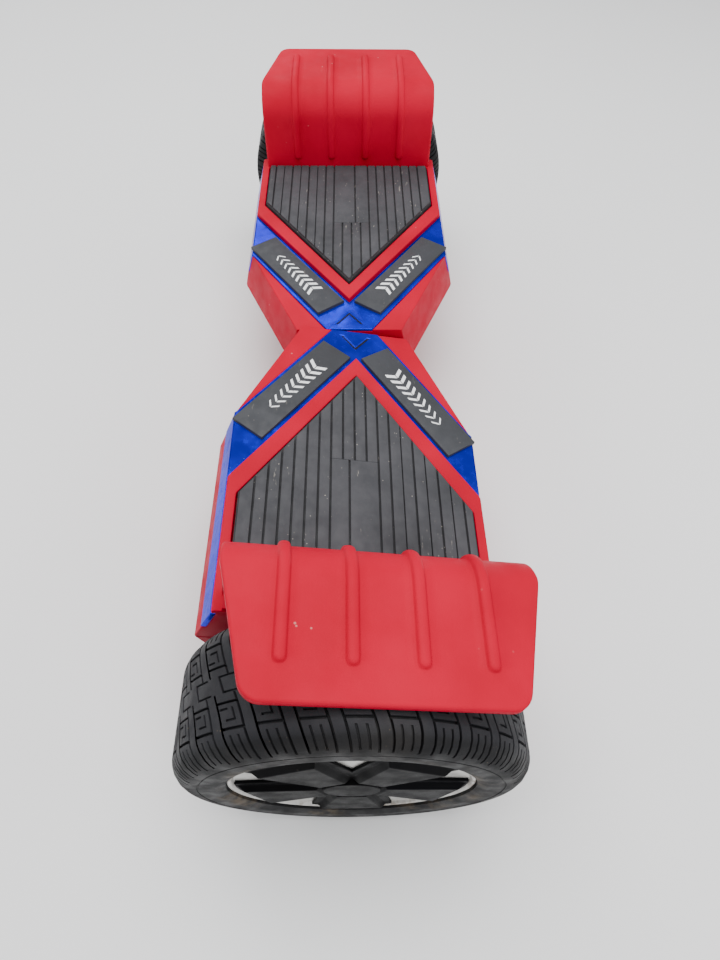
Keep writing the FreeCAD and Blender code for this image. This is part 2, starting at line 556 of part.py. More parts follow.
def fender(name):
    """The mudguard: a wall off the deck end, a wide bend and a tapered top with four raised ribs."""
    p = Piece(name)
    low, top, inner = "border_z", "fender_top_z", "(fender_top_z - fender_thick)"
    bend, wall = "fender_bend", "(fender_x + fender_thick)"
    p.pad(p.sketch("XZ_Plane", "-fender_half", [
        ("fender_x", low), ("fender_x", "%s - %s" % (top, bend), bend, -1), ("fender_x + %s" % bend, top),
        ("fender_out_x", top), ("fender_out_x", inner),
        ("fender_x + %s" % bend, inner, "%s - fender_thick" % bend, 1), (wall, "%s - %s" % (top, bend)),
        (wall, "%s + fender_thick" % low), ("%s + fender_foot" % wall, "%s + fender_thick" % low),
        ("%s + fender_foot" % wall, low)]), "fender_half * 2")
    beyond = "fender_half + 5 * over"
    corner = p.pocket(p.sketch("XY_Plane", "%s + 10 * over" % top, [
        ("fender_taper_x", "fender_half"), ("fender_out_x", "fender_out_half"),
        ("fender_out_x + 5 * over", "fender_out_half"), ("fender_out_x + 5 * over", beyond),
        ("fender_taper_x", beyond)]), "fender_thick + fender_bend + 10 * over")
    p.both_sides(corner)
    p.dress("Fillet", "fender_corner", lambda e: vertical(e, "fender_out_x"))
    spine = p.body.newObject("Sketcher::SketchObject", p.label("spine"))
    spine.AttachmentSupport = [(p.origin("XZ_Plane"), "")]
    spine.MapMode = "FlatFace"
    rib_y = "(1.5 * fender_rib_pitch)"
    spine.setExpression("AttachmentOffset.Base.z", bound(rib_y))
    rise, x1, x2 = "%s - %s" % (top, bend), "fender_x + %s" % bend, "fender_rib_out_x"
    foot = "%s + fender_thick + rib_low_gap" % low
    wall_line = spine.addGeometry(Part.LineSegment(
        Vector(val("fender_x"), val(foot), 0), Vector(val("fender_x"), val(rise), 0)))
    ring = Part.Circle(Vector(val(x1), val(rise), 0), Vector(0, 0, 1), val(bend))
    arc = spine.addGeometry(Part.ArcOfCircle(ring, math.pi / 2, math.pi))
    top_line = spine.addGeometry(Part.LineSegment(Vector(val(x1), val(top), 0), Vector(val(x2), val(top), 0)))
    spine.addConstraint(Sketcher.Constraint("Coincident", wall_line, 2, arc, 2))
    spine.addConstraint(Sketcher.Constraint("Coincident", arc, 1, top_line, 1))
    for geo, end, x, y in ((wall_line, 1, "fender_x", foot), (wall_line, 2, "fender_x", rise),
                           (top_line, 1, x1, top), (top_line, 2, x2, top)):
        p.fix(spine, "DistanceX", (-1, 1, geo, end), x)
        p.fix(spine, "DistanceY", (-1, 1, geo, end), y)
    p.fix(spine, "Radius", (arc,), bend)
    section = p.sketch("XY_Plane", foot, ("fender_x", "-%s" % rib_y, "fender_rib_radius"))
    rib = p.feature("AdditivePipe", section)
    rib.Spine = (spine, ["Edge%d" % n for n in (1, 2, 3)])
    ribs = p.pattern(rib, "LinearPattern", Direction=(p.origin("Y_Axis"), [""]),
                     Length="3 * fender_rib_pitch", Occurrences=4)
    ribs.Reversed = False
    p.pocket(p.sketch("XY_Plane", "border_z + fender_thick", *[
        (FOOT_X, y, "screw_radius + screw_gap") for y in FOOT_SCREWS]), "fender_thick + over")
    return p.body


def screws(p, places, low_z, length, head_up=False):
    """Adds pan head screws to a piece, each its own solid, the head on the outer side."""
    for x, y in places:
        head = p.sketch("XY_Plane", low_z, (x, y, "screw_head_radius"))
        p.pad(head, "screw_head", back=not head_up)
        crown = "%s + %s" % (low_z, "screw_head" if head_up else "-screw_head")
        p.pocket(p.sketch("XY_Plane", crown, hexagon(x, y, "screw_radius * 0.8")), "screw_head / 2",
                 back=not head_up)
        p.pad(p.sketch("XY_Plane", low_z, (x, y, "screw_radius - 0.02")), length, back=head_up)


def both_ends(places):
    """The places on +y and their mirror images."""
    return [(x, sign + y) for x, y in places for sign in ("", "-")]


def hexagon(x, y, radius):
    """Corners of a hexagon socket."""
    return [("%s + %s * %.6f" % (x, radius, math.cos(math.radians(60 * k))),
             "%s + %s * %.6f" % (y, radius, math.sin(math.radians(60 * k)))) for k in range(6)]


def body_screws(name):
    """Six screws up through the belly pan into the top cover, and four that hold the chassis."""
    p = Piece(name)
    screws(p, both_ends(SCREW_PLACES), "base_z + counterbore",
           "belt_z - base_z - counterbore + screw_bite - 2 * over")
    screws(p, both_ends(POST_PLACES), CHASSIS_LOW, "chassis_thick + post_bite")
    return p.body


def fender_screws(name):
    """Three screws through the fender's foot."""
    p = Piece(name)
    screws(p, [(FOOT_X, y) for y in FOOT_SCREWS], "border_z + fender_thick", "fender_thick + screw_head * 3",
           head_up=True)
    return p.body


# ------------------------------------------------------------------ chassis and the twisting joint
def chassis(name, bore, stops):
    """The cast frame: a ribbed plate, the axle block and the housing of the centre tube."""
    p = Piece(name)
    p.pad(p.sketch("XY_Plane", CHASSIS_LOW, mirrored([
        ("chassis_in_x", "chassis_neck"), ("chassis_neck_x", "chassis_neck"),
        ("chassis_neck_x + chassis_half - chassis_neck", "chassis_half"), ("chassis_end", "chassis_half")])),
        "chassis_thick")
    rail = p.block(("chassis_neck_x + chassis_half", "chassis_end - rail_width"),
                   ("chassis_half - rail_width", "chassis_half"),
                   ("chassis_top_z - over", "chassis_top_z + chassis_thick * 2"))
    p.both_sides(rail)
    p.block(("block_x", "block_x + block_len"), ("-block_half", "block_half"),
            ("chassis_top_z - over", "0 - cap_gap / 2"))
    p.turn([("housing_x", "0"), ("housing_x", "housing_radius"),
            (HOUSING_END + (" + stop_len" if stops else ""), "housing_radius"),
            (HOUSING_END + (" + stop_len" if stops else ""), "0")])
    length = "housing_len + stop_len + 2 * over"
    p.pocket(p.sketch("YZ_Plane", "housing_x - over", ("0", "0", bore)), length, back=True)
    p.pocket(p.sketch("YZ_Plane", "block_x - over", ("0", "0", "axle_radius")), "block_len + 2 * over",
             back=True)
    if stops:
        half = "((tube_radius + 6.5) * sin(twist_stop) + stop_pin_radius * cos(twist_stop) + stop_gap)"
        p.block(("%s + over" % HOUSING_END, "%s + stop_len + over" % HOUSING_END), ("-" + half, half),
                ("tube_radius - 4", "housing_radius + over"), cut=True)
        clear = "circlip_radius + arch_gap"
        p.block(("%s + stop_len" % HOUSING_END, "%s + circlip_thick + 6" % CLIP_X), ("-(%s)" % clear, clear),
                (CHASSIS_LOW + " - over", "chassis_top_z + over"), cut=True)
    p.pocket(p.sketch("XY_Plane", "chassis_top_z", *[
        (x, "0", "hole_cable") for x in (CABLE_HOLE, MOTOR_HOLE)]), "chassis_thick + over")
    holes = p.pocket(p.sketch("XY_Plane", "0", *[(x, y, "screw_radius") for x, y in CAP_PLACES]),
                     "block_len / 2")
    p.both_sides(holes)
    holes = p.pocket(p.sketch("XY_Plane", "chassis_top_z", *[
        (x, y, "screw_radius + screw_gap") for x, y in POST_PLACES]), "chassis_thick + over")
    p.both_sides(holes)
    return p.body


def axle_cap(name):
    """The clamp cap that holds the motor axle down on the chassis."""
    p = Piece(name)
    p.block(("block_x", "block_x + block_len"), ("-block_half", "block_half"), ("cap_gap / 2", "block_top_z"))
    p.dress("Chamfer", "2", lambda e: flat_at(e, "block_top_z"))
    p.pocket(p.sketch("YZ_Plane", "block_x - over", ("0", "0", "axle_radius")), "block_len + 2 * over",
             back=True)
    holes = p.pocket(p.sketch("XY_Plane", "block_top_z + over", *[
        (x, y, "screw_radius + screw_gap") for x, y in CAP_PLACES]), "block_top_z + 2 * over")
    p.both_sides(holes)
    return p.body


def axle_cap_screws(name):
    """Four screws that pull the clamp cap down."""
    p = Piece(name)
    screws(p, both_ends(CAP_PLACES), "block_top_z", "block_top_z + block_len / 2 - over", head_up=True)
    return p.body


def centre_tube(name):
    """The steel tube on the axle line, clamped in the left half and turning in the right one. Its
    collar keeps the halves apart and its groove takes the circlip."""
    p = Piece(name)
    groove_end = "%s + circlip_thick + 0.1" % CLIP_X
    end = "%s + 4" % groove_end
    collar_end = "housing_x - flange_thick - collar_gap"
    start = "-(%s)" % HOUSING_END
    p.turn([(start, "tube_bore"), (start, "tube_radius"), ("-housing_x", "tube_radius"),
            ("-housing_x", "collar_radius"), (collar_end, "collar_radius"), (collar_end, "tube_radius"),
            (CLIP_X, "tube_radius"), (CLIP_X, "circlip_groove"), (groove_end, "circlip_groove"),
            (groove_end, "tube_radius"), (end, "tube_radius"), (end, "tube_bore")])
    p.pocket(p.sketch("XY_Plane", "0", (STOP_X, "0", "stop_pin_radius")), "tube_radius + over", back=True)
    return p.body


def circlip(name):
    """The open retaining ring that keeps the right half on the tube."""
    p = Piece(name)
    end = CLIP_X + " + circlip_thick"
    p.turn([(CLIP_X, "circlip_groove"), (CLIP_X, "circlip_radius"), (end, "circlip_radius"),
            (end, "circlip_groove")])
    p.block((CLIP_X + " - over", end + " + over"), ("-clip_mouth", "clip_mouth"), ("-circlip_radius - over", "0"), cut=True)
    return p.body


def pivot_bush(name):
    """The flanged plain bush between the tube and the right half's housing."""
    p = Piece(name)
    face = "housing_x - flange_thick"
    bore, flange = "tube_radius + bush_gap", "bush_radius + boss_step"
    p.turn([(face, bore), (face, flange), ("housing_x", flange), ("housing_x", "bush_radius"),
            (HOUSING_END, "bush_radius"), (HOUSING_END, bore)])
    return p.body


def stop_pin(name):
    """The pin on the tube that runs between the housing's stops."""
    p = Piece(name)
    p.pad(p.sketch("XY_Plane", "tube_bore + weld", (STOP_X, "0", "stop_pin_radius")),
          "tube_radius - tube_bore + pin_reach")
    return p.body


# ------------------------------------------------------------------ hub motor wheel
def axle(name):
    """The fixed motor axle with its seat for the stator."""
    p = Piece(name)
    low = "wheel_x - stator_width / 2 - axle_seat_over"
    high = "wheel_x + stator_width / 2 + axle_seat_over"
    p.turn([("axle_in_x", "0"), ("axle_in_x", "axle_radius"), (low, "axle_radius"), (low, "axle_seat_radius"),
            (high, "axle_seat_radius"), (high, "axle_radius"), ("axle_out_x", "axle_radius"),
            ("axle_out_x", "0")])
    return p.body


def stator(name):
    """The laminated stator: a ring with one tooth for each coil."""
    p = Piece(name)
    low, high = STATOR_X
    p.turn([(low, "axle_seat_radius"), (low, "stator_core"), (high, "stator_core"), (high, "axle_seat_radius")])
    tooth = p.block(STATOR_X, ("-tooth_width / 2", "tooth_width / 2"), ("stator_core - over", "stator_radius"))
    p.around(tooth, "teeth")
    return p.body


def windings(name):
    """A copper coil round each stator tooth."""
    p = Piece(name)
    outer = box_outline(("%s - coil_width" % STATOR_X[0], "%s + coil_width" % STATOR_X[1]),
                        ("-tooth_width / 2 - coil_width", "tooth_width / 2 + coil_width"))
    inner = box_outline(STATOR_X, ("-tooth_width / 2", "tooth_width / 2"))
    coil = p.pad(p.sketch("XY_Plane", "stator_core + weld", outer, inner),
                 "stator_radius - stator_core - coil_short")
    p.around(coil, "teeth")
    return p.body


def magnet_ring(name):
    """The ring of magnets inside the rim."""
    p = Piece(name)
    low, high = STATOR_X
    inner, outer = "stator_radius + magnet_gap", "stator_radius + magnet_gap + magnet_thick"
    p.turn([(low, inner), (low, outer), (high, outer), (high, inner)])
    return p.body


def rim(name):
    """The cast rim: motor can, tyre seat, flange and closed outer disc."""
    p = Piece(name)
    can = "(stator_radius + magnet_gap + magnet_thick)"
    seat = "bearing_out_x + bearing_width + bearing_back"
    hub, lip = "hub_boss_radius - 2 * rim_slope", "rim_flange_radius - rim_slope"
    p.turn([("rim_in_x", can), ("rim_disc_x", can), ("rim_disc_x", "hub_boss_radius"),
            ("bearing_out_x", "hub_boss_radius"), ("bearing_out_x", "bearing_radius"),
            (seat, "bearing_radius"), (seat, "0"), ("rim_face_x + rim_dish", "0"),
            ("rim_face_x + rim_dish", "%s - rim_slope" % hub), ("rim_face_x", hub),
            ("rim_face_x", "%s - rim_dish" % lip), ("rim_lip_x", lip), ("rim_lip_x", "rim_flange_radius"),
            ("rim_flange_x", "rim_flange_radius"), ("rim_flange_x", "rim_seat_radius"),
            ("rim_in_x", "rim_seat_radius")])
    return p.body


def motor_cover(name):
    """The inner side cover of the hub motor, with the inner bearing's seat."""
    p = Piece(name)
    face, end = "rim_in_x - cover_thick", "rim_in_x + bearing_proud"
    boss = "%s - bearing_width" % end
    p.turn([(boss, "bearing_radius"), (boss, "cover_boss_radius"), (face, "cover_boss_radius + cover_slope"),
            (face, "rim_seat_radius"), ("rim_in_x", "rim_seat_radius"), ("rim_in_x", "cover_boss_radius"),
            (end, "cover_boss_radius"), (end, "bearing_radius")])
    return p.body


def cover_screws(name):
    """The ring of screws that holds the motor cover to the rim."""
    p = Piece(name)
    face = "rim_in_x - cover_thick"
    head = p.pad(p.sketch("YZ_Plane", face, ("0", "cover_screw_radius", "screw_head_radius")),
                 "screw_head", back=True)
    p.around(head, "cover_screws")
    return p.body


def wheel_bearings(name):
    """The two ball bearings of the wheel, as closed rings."""
    p = Piece(name)
    bore = "axle_radius + shaft_gap"
    for low in ("rim_in_x + bearing_proud - bearing_width", "bearing_out_x"):
        high = low + " + bearing_width"
        p.turn([(low, bore), (low, "bearing_radius"), (high, "bearing_radius"), (high, bore)])
    return p.body


def blade_outline(level):
    """A hub cap blade's outline at its foot or its crest, below the axle, in (y, z)."""
    near, far = "-%s_in" % level, "-%s_out" % level
    near_half, far_half = "%s_in_half" % level, "%s_out_half" % level
    return [("-" + near_half, near), ("-" + far_half, far), (far_half, far), (near_half, near)]


def hub_cap(name):
    """The black outer cap with five faceted blades and a silver window between each pair."""
    p = Piece(name)
    low, face, top = "rim_face_x", "(rim_face_x + cap_disc_thick)", "cap_top_x"
    back, bore = "rim_face_x + rim_dish + flap_gap", "hub_boss_radius - boss_step"
    beyond = "cap_disc_radius + 2 * over"
    p.turn([(low, bore), (low, "cap_disc_radius"), (face, "cap_disc_radius"), (face, "0"), (back, "0"),
            (back, bore)])
    window = p.pocket(p.sketch("YZ_Plane", "cap_top_x + over", [
        ("0", "window_tip"), ("window_half", beyond), ("-window_half", beyond)]),
        "cap_top_x - rim_face_x + 2 * over")
    p.around(window, "blades")
    blade = p.loft(p.sketch("YZ_Plane", face, blade_outline("blade")),
                   p.sketch("YZ_Plane", top, blade_outline("crest")))
    p.around(blade, "blades")
    p.pad(p.sketch("YZ_Plane", face, ("0", "0", "cap_centre_radius")), "%s - %s" % (top, face))
    return p.body


def tyre(name):
    """The solid tyre: wide tread, round shoulders and short sidewalls on the rim seat."""
    p = Piece(name)
    x0, x1 = "(wheel_x - tyre_width / 2)", "(wheel_x + tyre_width / 2)"
    bead = "(rim_flange_x - tyre_bead_gap)"
    seat, flange = "(rim_seat_radius + seat_fit)", "rim_flange_radius + flange_fit"
    side = "tyre_radius - tyre_shoulder"
    p.turn([(x0 + " + bead_in", "rim_seat_radius + bead_rise"), (x0 + " + bead_in + bead_chamfer", seat),
            (bead, seat), (bead, flange), (x1 + " - wall_chamfer", flange),
            (x1, "rim_flange_radius + wall_foot"), (x1, side, "tyre_shoulder", 1),
            (x1 + " - tyre_shoulder", "tyre_radius"),
            (x0 + " + tyre_shoulder", "tyre_radius", "tyre_shoulder", 1), (x0, side),
            (x0, "rim_flange_radius + wall_foot_in")])
    return p.body


# ------------------------------------------------------------------ electrics
def gyro_board(name):
    """The sensor board under the foot pad, with the optical switch under each plunger."""
    p = Piece(name)
    low = "chassis_top_z + gyro_rise"
    p.block(("gyro_x", "gyro_x + gyro_len"), ("-gyro_half", "gyro_half"), (low, low + " + board_thick"))
    post = p.block(("plunger_x - switch_long / 2", "plunger_x + switch_long / 2"),
                   ("plunger_y - switch_wide / 2", "plunger_y + switch_wide / 2"),
                   (low, "%s - plunger_len - switch_gap" % PAD_LOW))
    p.both_sides(post)
    feet = p.block(("gyro_x + foot_in", "gyro_x + foot_in + foot_long"),
                   ("gyro_half - foot_edge - foot_long", "gyro_half - foot_edge"),
                   ("chassis_top_z", low + " + weld"))
    p.both_sides(feet)
    p.block(("gyro_x + chip_x", "gyro_x + chip_x + chip_size"), ("-2 * chip_size", "-chip_size"),
            (low, low + " + chip_high"))
    return p.body


def battery(name):
    """The lithium pack in its shrink sleeve, under the left chassis."""
    p = Piece(name)
    p.block(("battery_x", "battery_x + battery_len"), ("-battery_half", "battery_half"),
            ("battery_low_z", "battery_high_z"))
    p.dress("Fillet", "sleeve_round", lambda e: abs(e.Vertexes[0].Point.x - e.Vertexes[-1].Point.x) > 1)
    return p.body


def strap(name):
    """The steel strap that holds the pack or the board up under the chassis."""
    p = Piece(name)
    inner, outer = "battery_half + strap_gap", "(battery_half + strap_gap + strap_thick)"
    tab, under = "%s + strap_foot" % outer, "%s - strap_thick" % CHASSIS_LOW
    floor, bottom = "battery_low_z - strap_drop", "battery_low_z - strap_drop - strap_thick"
    half = [(outer, bottom), (outer, under), (tab, under), (tab, CHASSIS_LOW), (inner, CHASSIS_LOW),
            (inner, floor)]
    other = [("-(%s)" % y, z) for y, z in reversed(half)]
    p.pad(p.sketch("YZ_Plane", "battery_x + battery_len / 2 - strap_width / 2", half + other), "strap_width")
    return p.body


def main_board(name):
    """The controller under the right chassis: board, heat sink, capacitors and connectors."""
    p = Piece(name)
    low = BOARD_LOW
    p.block(("battery_x", "battery_x + battery_len"), ("-battery_half", "battery_half"),
            (low, low + " + board_thick"))
    sink = p.block(("battery_x + sink_x", "battery_x + sink_x + sink_len"),
                   ("battery_half - sink_deep", "battery_half"), (low, low + " + sink_high"))
    p.both_sides(sink)
    for n in range(3):
        p.pad(p.sketch("XY_Plane", low, ("battery_x + can_x + %d * can_pitch" % n, "0", "can_radius")),
              "can_high")
    ends = ("battery_x + board_foot_in", "battery_x + battery_len - board_foot_in - board_foot")
    for end in ends:
        feet = p.block((end, end + " + board_foot"),
                       ("battery_half - board_foot_edge - board_foot", "battery_half - board_foot_edge"),
                       (low, CHASSIS_LOW))
        p.both_sides(feet)
    return p.body


def cable(name, spots, radius="cable_radius"):
    """A cable of round section along straight runs joined by tangent arcs."""
    points = [Vector(*[val(c) for c in spot]) for spot in spots]
    edges, here = [], points[0]
    for a, b, c in zip(points, points[1:], points[2:]):
        into, out = (b - a), (c - b)
        half_turn = into.getAngle(out) / 2
        back = 0.45 * min(into.Length, out.Length)
        into.normalize()
        out.normalize()
        start, end = b - into * back, b + out * back
        bow = (out - into).normalize()
        bend = back / math.tan(half_turn)
        middle = b + bow * (bend / math.cos(half_turn) - bend)
        edges += [Part.LineSegment(here, start).toShape(), Part.Arc(start, middle, end).toShape()]
        here = end
    edges.append(Part.LineSegment(here, points[-1]).toShape())
    path = Part.Wire(edges)
    ring = Part.Wire(Part.Circle(points[0], points[1] - points[0], val(radius)).toShape())
    feature = doc.addObject("Part::Feature", name)
    feature.Label = name
    feature.Shape = path.makePipeShell([ring], True, False)
    return feature


def motor_cable_right(name):
    """From the hollow axle down through the chassis to the controller."""
    middle = "(axle_in_x + %s) / 2" % MOTOR_HOLE
    return cable(name, [("axle_in_x", "0", "0"), (middle, "0", "0"), (MOTOR_HOLE, "0", "-bend_drop"),
                        (MOTOR_HOLE, "0", "%s + board_thick" % BOARD_LOW)])


def motor_cable_left(name):
    """From the hollow axle through the centre tube into the right half."""
    return cable(name, [("axle_in_x", "0", "0"), ("axle_in_x - straight_run", "0", "0"),
                        ("axle_in_x - bend_run", "-lane_y", "0"), (CABLE_END, "-lane_y", "0")])


def battery_cable(name):
    """From the pack up through the chassis and along the centre tube."""
    return cable(name, [(CABLE_HOLE, "0", "battery_high_z"), (CABLE_HOLE, "0", "-cable_radius * 1.7"),
                        ("%s - side_run" % CABLE_HOLE, "lane_y", "0"), (CABLE_END, "lane_y", "0")])


def charge_socket(name):
    """The round charge socket in its niche."""
    p = Piece(name)
    face = "-(niche_y + port_flange_thick)"
    p.pad(p.sketch("XZ_Plane", face, ("port_x", "port_z", "port_flange")), "port_flange_thick")
    p.pad(p.sketch("XZ_Plane", face, ("port_x", "port_z", "port_radius")), "port_len")
    p.pocket(p.sketch("XZ_Plane", face, ("port_x", "port_z", "port_bore")), "port_bore_len", back=True)
    return p.body


def charge_cap(name):
    """The flap over the socket, hinged on the pin moulded into it."""
    p = Piece(name)
    face = "-(niche_y + port_flange_thick + cap_thick + flap_gap)"
    tab = box_outline(("port_x - cap_ear", "port_x + cap_ear"),
                      ("port_z + port_flange - flap_lap", "port_z + cap_pin_rise + cap_ear - ear_short"))
    p.pad(p.sketch("XZ_Plane", face, ("port_x", "port_z", "port_flange")), "cap_thick")
    p.pad(p.sketch("XZ_Plane", face, tab), "cap_thick")
    p.pad(p.sketch("YZ_Plane", "port_x - cap_ear * 2", (PIN_Y, "port_z + cap_pin_rise", "cap_pin_radius")),
          "cap_ear * 4")
    return p.body


def power_button(name):
    """The round power button with its inner collar."""
    p = Piece(name)
    face = "-(niche_y + button_proud)"
    back = "(niche_wall + button_proud + button_clear)"
    p.pad(p.sketch("XZ_Plane", face, ("button_x", "port_z", "button_radius")), back + " + button_collar")
    p.pad(p.sketch("XZ_Plane", face + " + " + back, ("button_x", "port_z", "button_flange")), "button_collar")
    return p.body


def power_switch(name):
    """The switch behind the button, on its post from the pan's floor."""
    p = Piece(name)
    face = "niche_y - niche_wall - button_collar - button_travel - 2 * button_clear"
    p.block(("button_x - switch_block / 2", "button_x + switch_block / 2"),
            ("%s - switch_block" % face, face), (FLOOR_IN, "port_z + switch_block / 2"))
    return p.body


# ------------------------------------------------------------------ assembly
HALF_PIECES = {
    "upper_shell": upper_shell, "trim_band": trim, "foot_pad": foot_pad, "fender": fender,
    "body_screws": body_screws, "fender_screws": fender_screws, "axle_cap": axle_cap,
    "axle_cap_screws": axle_cap_screws, "motor_axle": axle, "stator": stator, "stator_windings": windings,
    "gyro_board": gyro_board,
}
WHEEL_PIECES = {
    "magnet_ring": magnet_ring, "wheel_rim": rim, "motor_cover": motor_cover, "cover_screws": cover_screws,
    "wheel_bearings": wheel_bearings, "hub_cap": hub_cap, "tyre": tyre,
}


def place(feature, side, roll="rest_twist"):
    """Carries a half's piece into the board's frame: the left half faces the other way, the
    right half is rolled about the axle line by the twist that the board rests with."""
    turn = Rotation(Vector(0, 0, 1), 180) if side == "left" else Rotation(Vector(1, 0, 0), val(roll))
    feature.Placement = Placement(Vector(0, 0, val("tyre_radius")), turn)
    PARTS[feature.Label] = feature


for side in ("left", "right"):
    for kind, make in HALF_PIECES.items():
        place(make("%s_%s" % (side, kind)), side)
    # A wheel may rest at any turn: both rest with a hub cap blade straight down.
    for kind, make in WHEEL_PIECES.items():
        place(make("%s_%s" % (side, kind)), side, roll="0")
    place(lower_shell(side + "_lower_shell", niche=side == "left"), side)
    place(grip(side + "_front_grip", 1 if side == "right" else -1), side)
    place(grip(side + "_rear_grip", -1 if side == "right" else 1), side)
place(chassis("left_chassis", "tube_radius", stops=False), "left")
place(chassis("right_chassis", "bush_radius", stops=True), "right")
place(pivot_bush("pivot_bush"), "right")
place(battery("battery_pack"), "left")
place(strap("battery_strap"), "left")
place(main_board("main_board"), "right")
place(motor_cable_left("left_motor_cable"), "left")
place(motor_cable_right("right_motor_cable"), "right")
place(battery_cable("battery_cable"), "left")
place(charge_socket("charge_socket"), "left")
place(charge_cap("charge_cap"), "left")
place(power_button("power_button"), "left")
place(power_switch("power_switch"), "left")
# The tube, its clip and its pin stand level with the left half, on the right half's side.
for kind, make in {"centre_tube": centre_tube, "tube_circlip": circlip, "stop_pin": stop_pin}.items():
    feature = make(kind)
    feature.Placement = Placement(Vector(0, 0, val("tyre_radius")), Rotation())
    PARTS[kind] = feature

doc.recompute()
faults = [o.Name for o in doc.Objects if "Invalid" in o.State or "Error" in o.State]
for label, feature in PARTS.items():
    if feature.Shape.isNull() or not feature.Shape.isValid() or not feature.Shape.Solids:
        faults.append(label)
if faults:
    raise SystemExit("failed objects: %s" % ", ".join(faults))
os.makedirs("parts", exist_ok=True)
for old in os.listdir("parts"):
    os.remove(os.path.join("parts", old))
for label, feature in PARTS.items():
    feature.Shape.exportStep(os.path.join("parts", label + ".step"))
print(len(PARTS), "sub-parts written")
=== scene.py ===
"""Self balancing board: the finished looks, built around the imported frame. Lengths are metres.

Each half has axes of its own: x outwards from the middle along the wheel axle, y across the deck
and z up from the axle. Side.matrix() carries them into the row's frame.
"""
from __future__ import annotations

import json
import logging
import math
from dataclasses import dataclass, field
from enum import Enum
from typing import Callable, Iterable, Sequence

import bmesh
import bpy
import numpy as np
from mathutils import Matrix, Vector

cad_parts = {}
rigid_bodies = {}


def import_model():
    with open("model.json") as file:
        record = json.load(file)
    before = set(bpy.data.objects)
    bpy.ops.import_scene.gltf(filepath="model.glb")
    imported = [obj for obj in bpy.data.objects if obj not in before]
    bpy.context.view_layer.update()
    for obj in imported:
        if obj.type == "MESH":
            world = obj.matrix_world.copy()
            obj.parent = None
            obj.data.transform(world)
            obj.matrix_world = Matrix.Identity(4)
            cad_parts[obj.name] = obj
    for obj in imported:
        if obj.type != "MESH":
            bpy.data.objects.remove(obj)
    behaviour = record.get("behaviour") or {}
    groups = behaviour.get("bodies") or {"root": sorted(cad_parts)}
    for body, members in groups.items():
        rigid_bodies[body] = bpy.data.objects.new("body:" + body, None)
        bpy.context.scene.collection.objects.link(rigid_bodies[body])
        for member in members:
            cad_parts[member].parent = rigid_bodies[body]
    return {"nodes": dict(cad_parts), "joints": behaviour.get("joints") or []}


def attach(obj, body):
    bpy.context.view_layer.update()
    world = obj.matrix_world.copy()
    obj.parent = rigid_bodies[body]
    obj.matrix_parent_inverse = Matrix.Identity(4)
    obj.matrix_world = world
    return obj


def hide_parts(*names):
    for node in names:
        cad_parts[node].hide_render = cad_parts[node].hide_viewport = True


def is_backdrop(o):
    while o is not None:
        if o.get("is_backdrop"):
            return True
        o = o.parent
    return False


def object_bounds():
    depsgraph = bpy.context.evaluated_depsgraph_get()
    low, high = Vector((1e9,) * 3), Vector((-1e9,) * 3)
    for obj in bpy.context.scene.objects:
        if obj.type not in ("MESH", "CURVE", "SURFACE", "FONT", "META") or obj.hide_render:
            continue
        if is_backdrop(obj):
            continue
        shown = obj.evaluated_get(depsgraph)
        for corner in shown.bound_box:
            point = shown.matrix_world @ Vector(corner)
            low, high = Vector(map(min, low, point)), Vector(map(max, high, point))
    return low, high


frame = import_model()
CAD_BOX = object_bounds()

LOG = logging.getLogger("board")
MM = 0.001
NODES: dict[str, bpy.types.Object] = frame["nodes"]
JOINTS: dict[str, dict] = {joint["name"]: joint for joint in frame["joints"]}
AXLE = Vector(JOINTS["centre_twist"]["pos_m"])
PAD_UP = Vector(JOINTS["right_pad_press"]["axis"])
REST_ROLL = -math.atan2(PAD_UP.y, PAD_UP.z)

Outline = Sequence[tuple[float, float]]
Socket = bpy.types.NodeSocket


class Side(Enum):
    """One half of the board."""

    LEFT = "left"
    RIGHT = "right"

    def matrix(self) -> Matrix:
        """The half's own axes carried into the row's frame."""
        turn = Matrix.Rotation(math.pi, 4, "Z") if self is Side.LEFT else Matrix.Rotation(REST_ROLL, 4, "X")
        return Matrix.Translation(AXLE) @ turn

    def node(self, kind: str) -> str:
        """The name of this half's CAD node of a kind."""
        return f"{self.value}_{kind}"


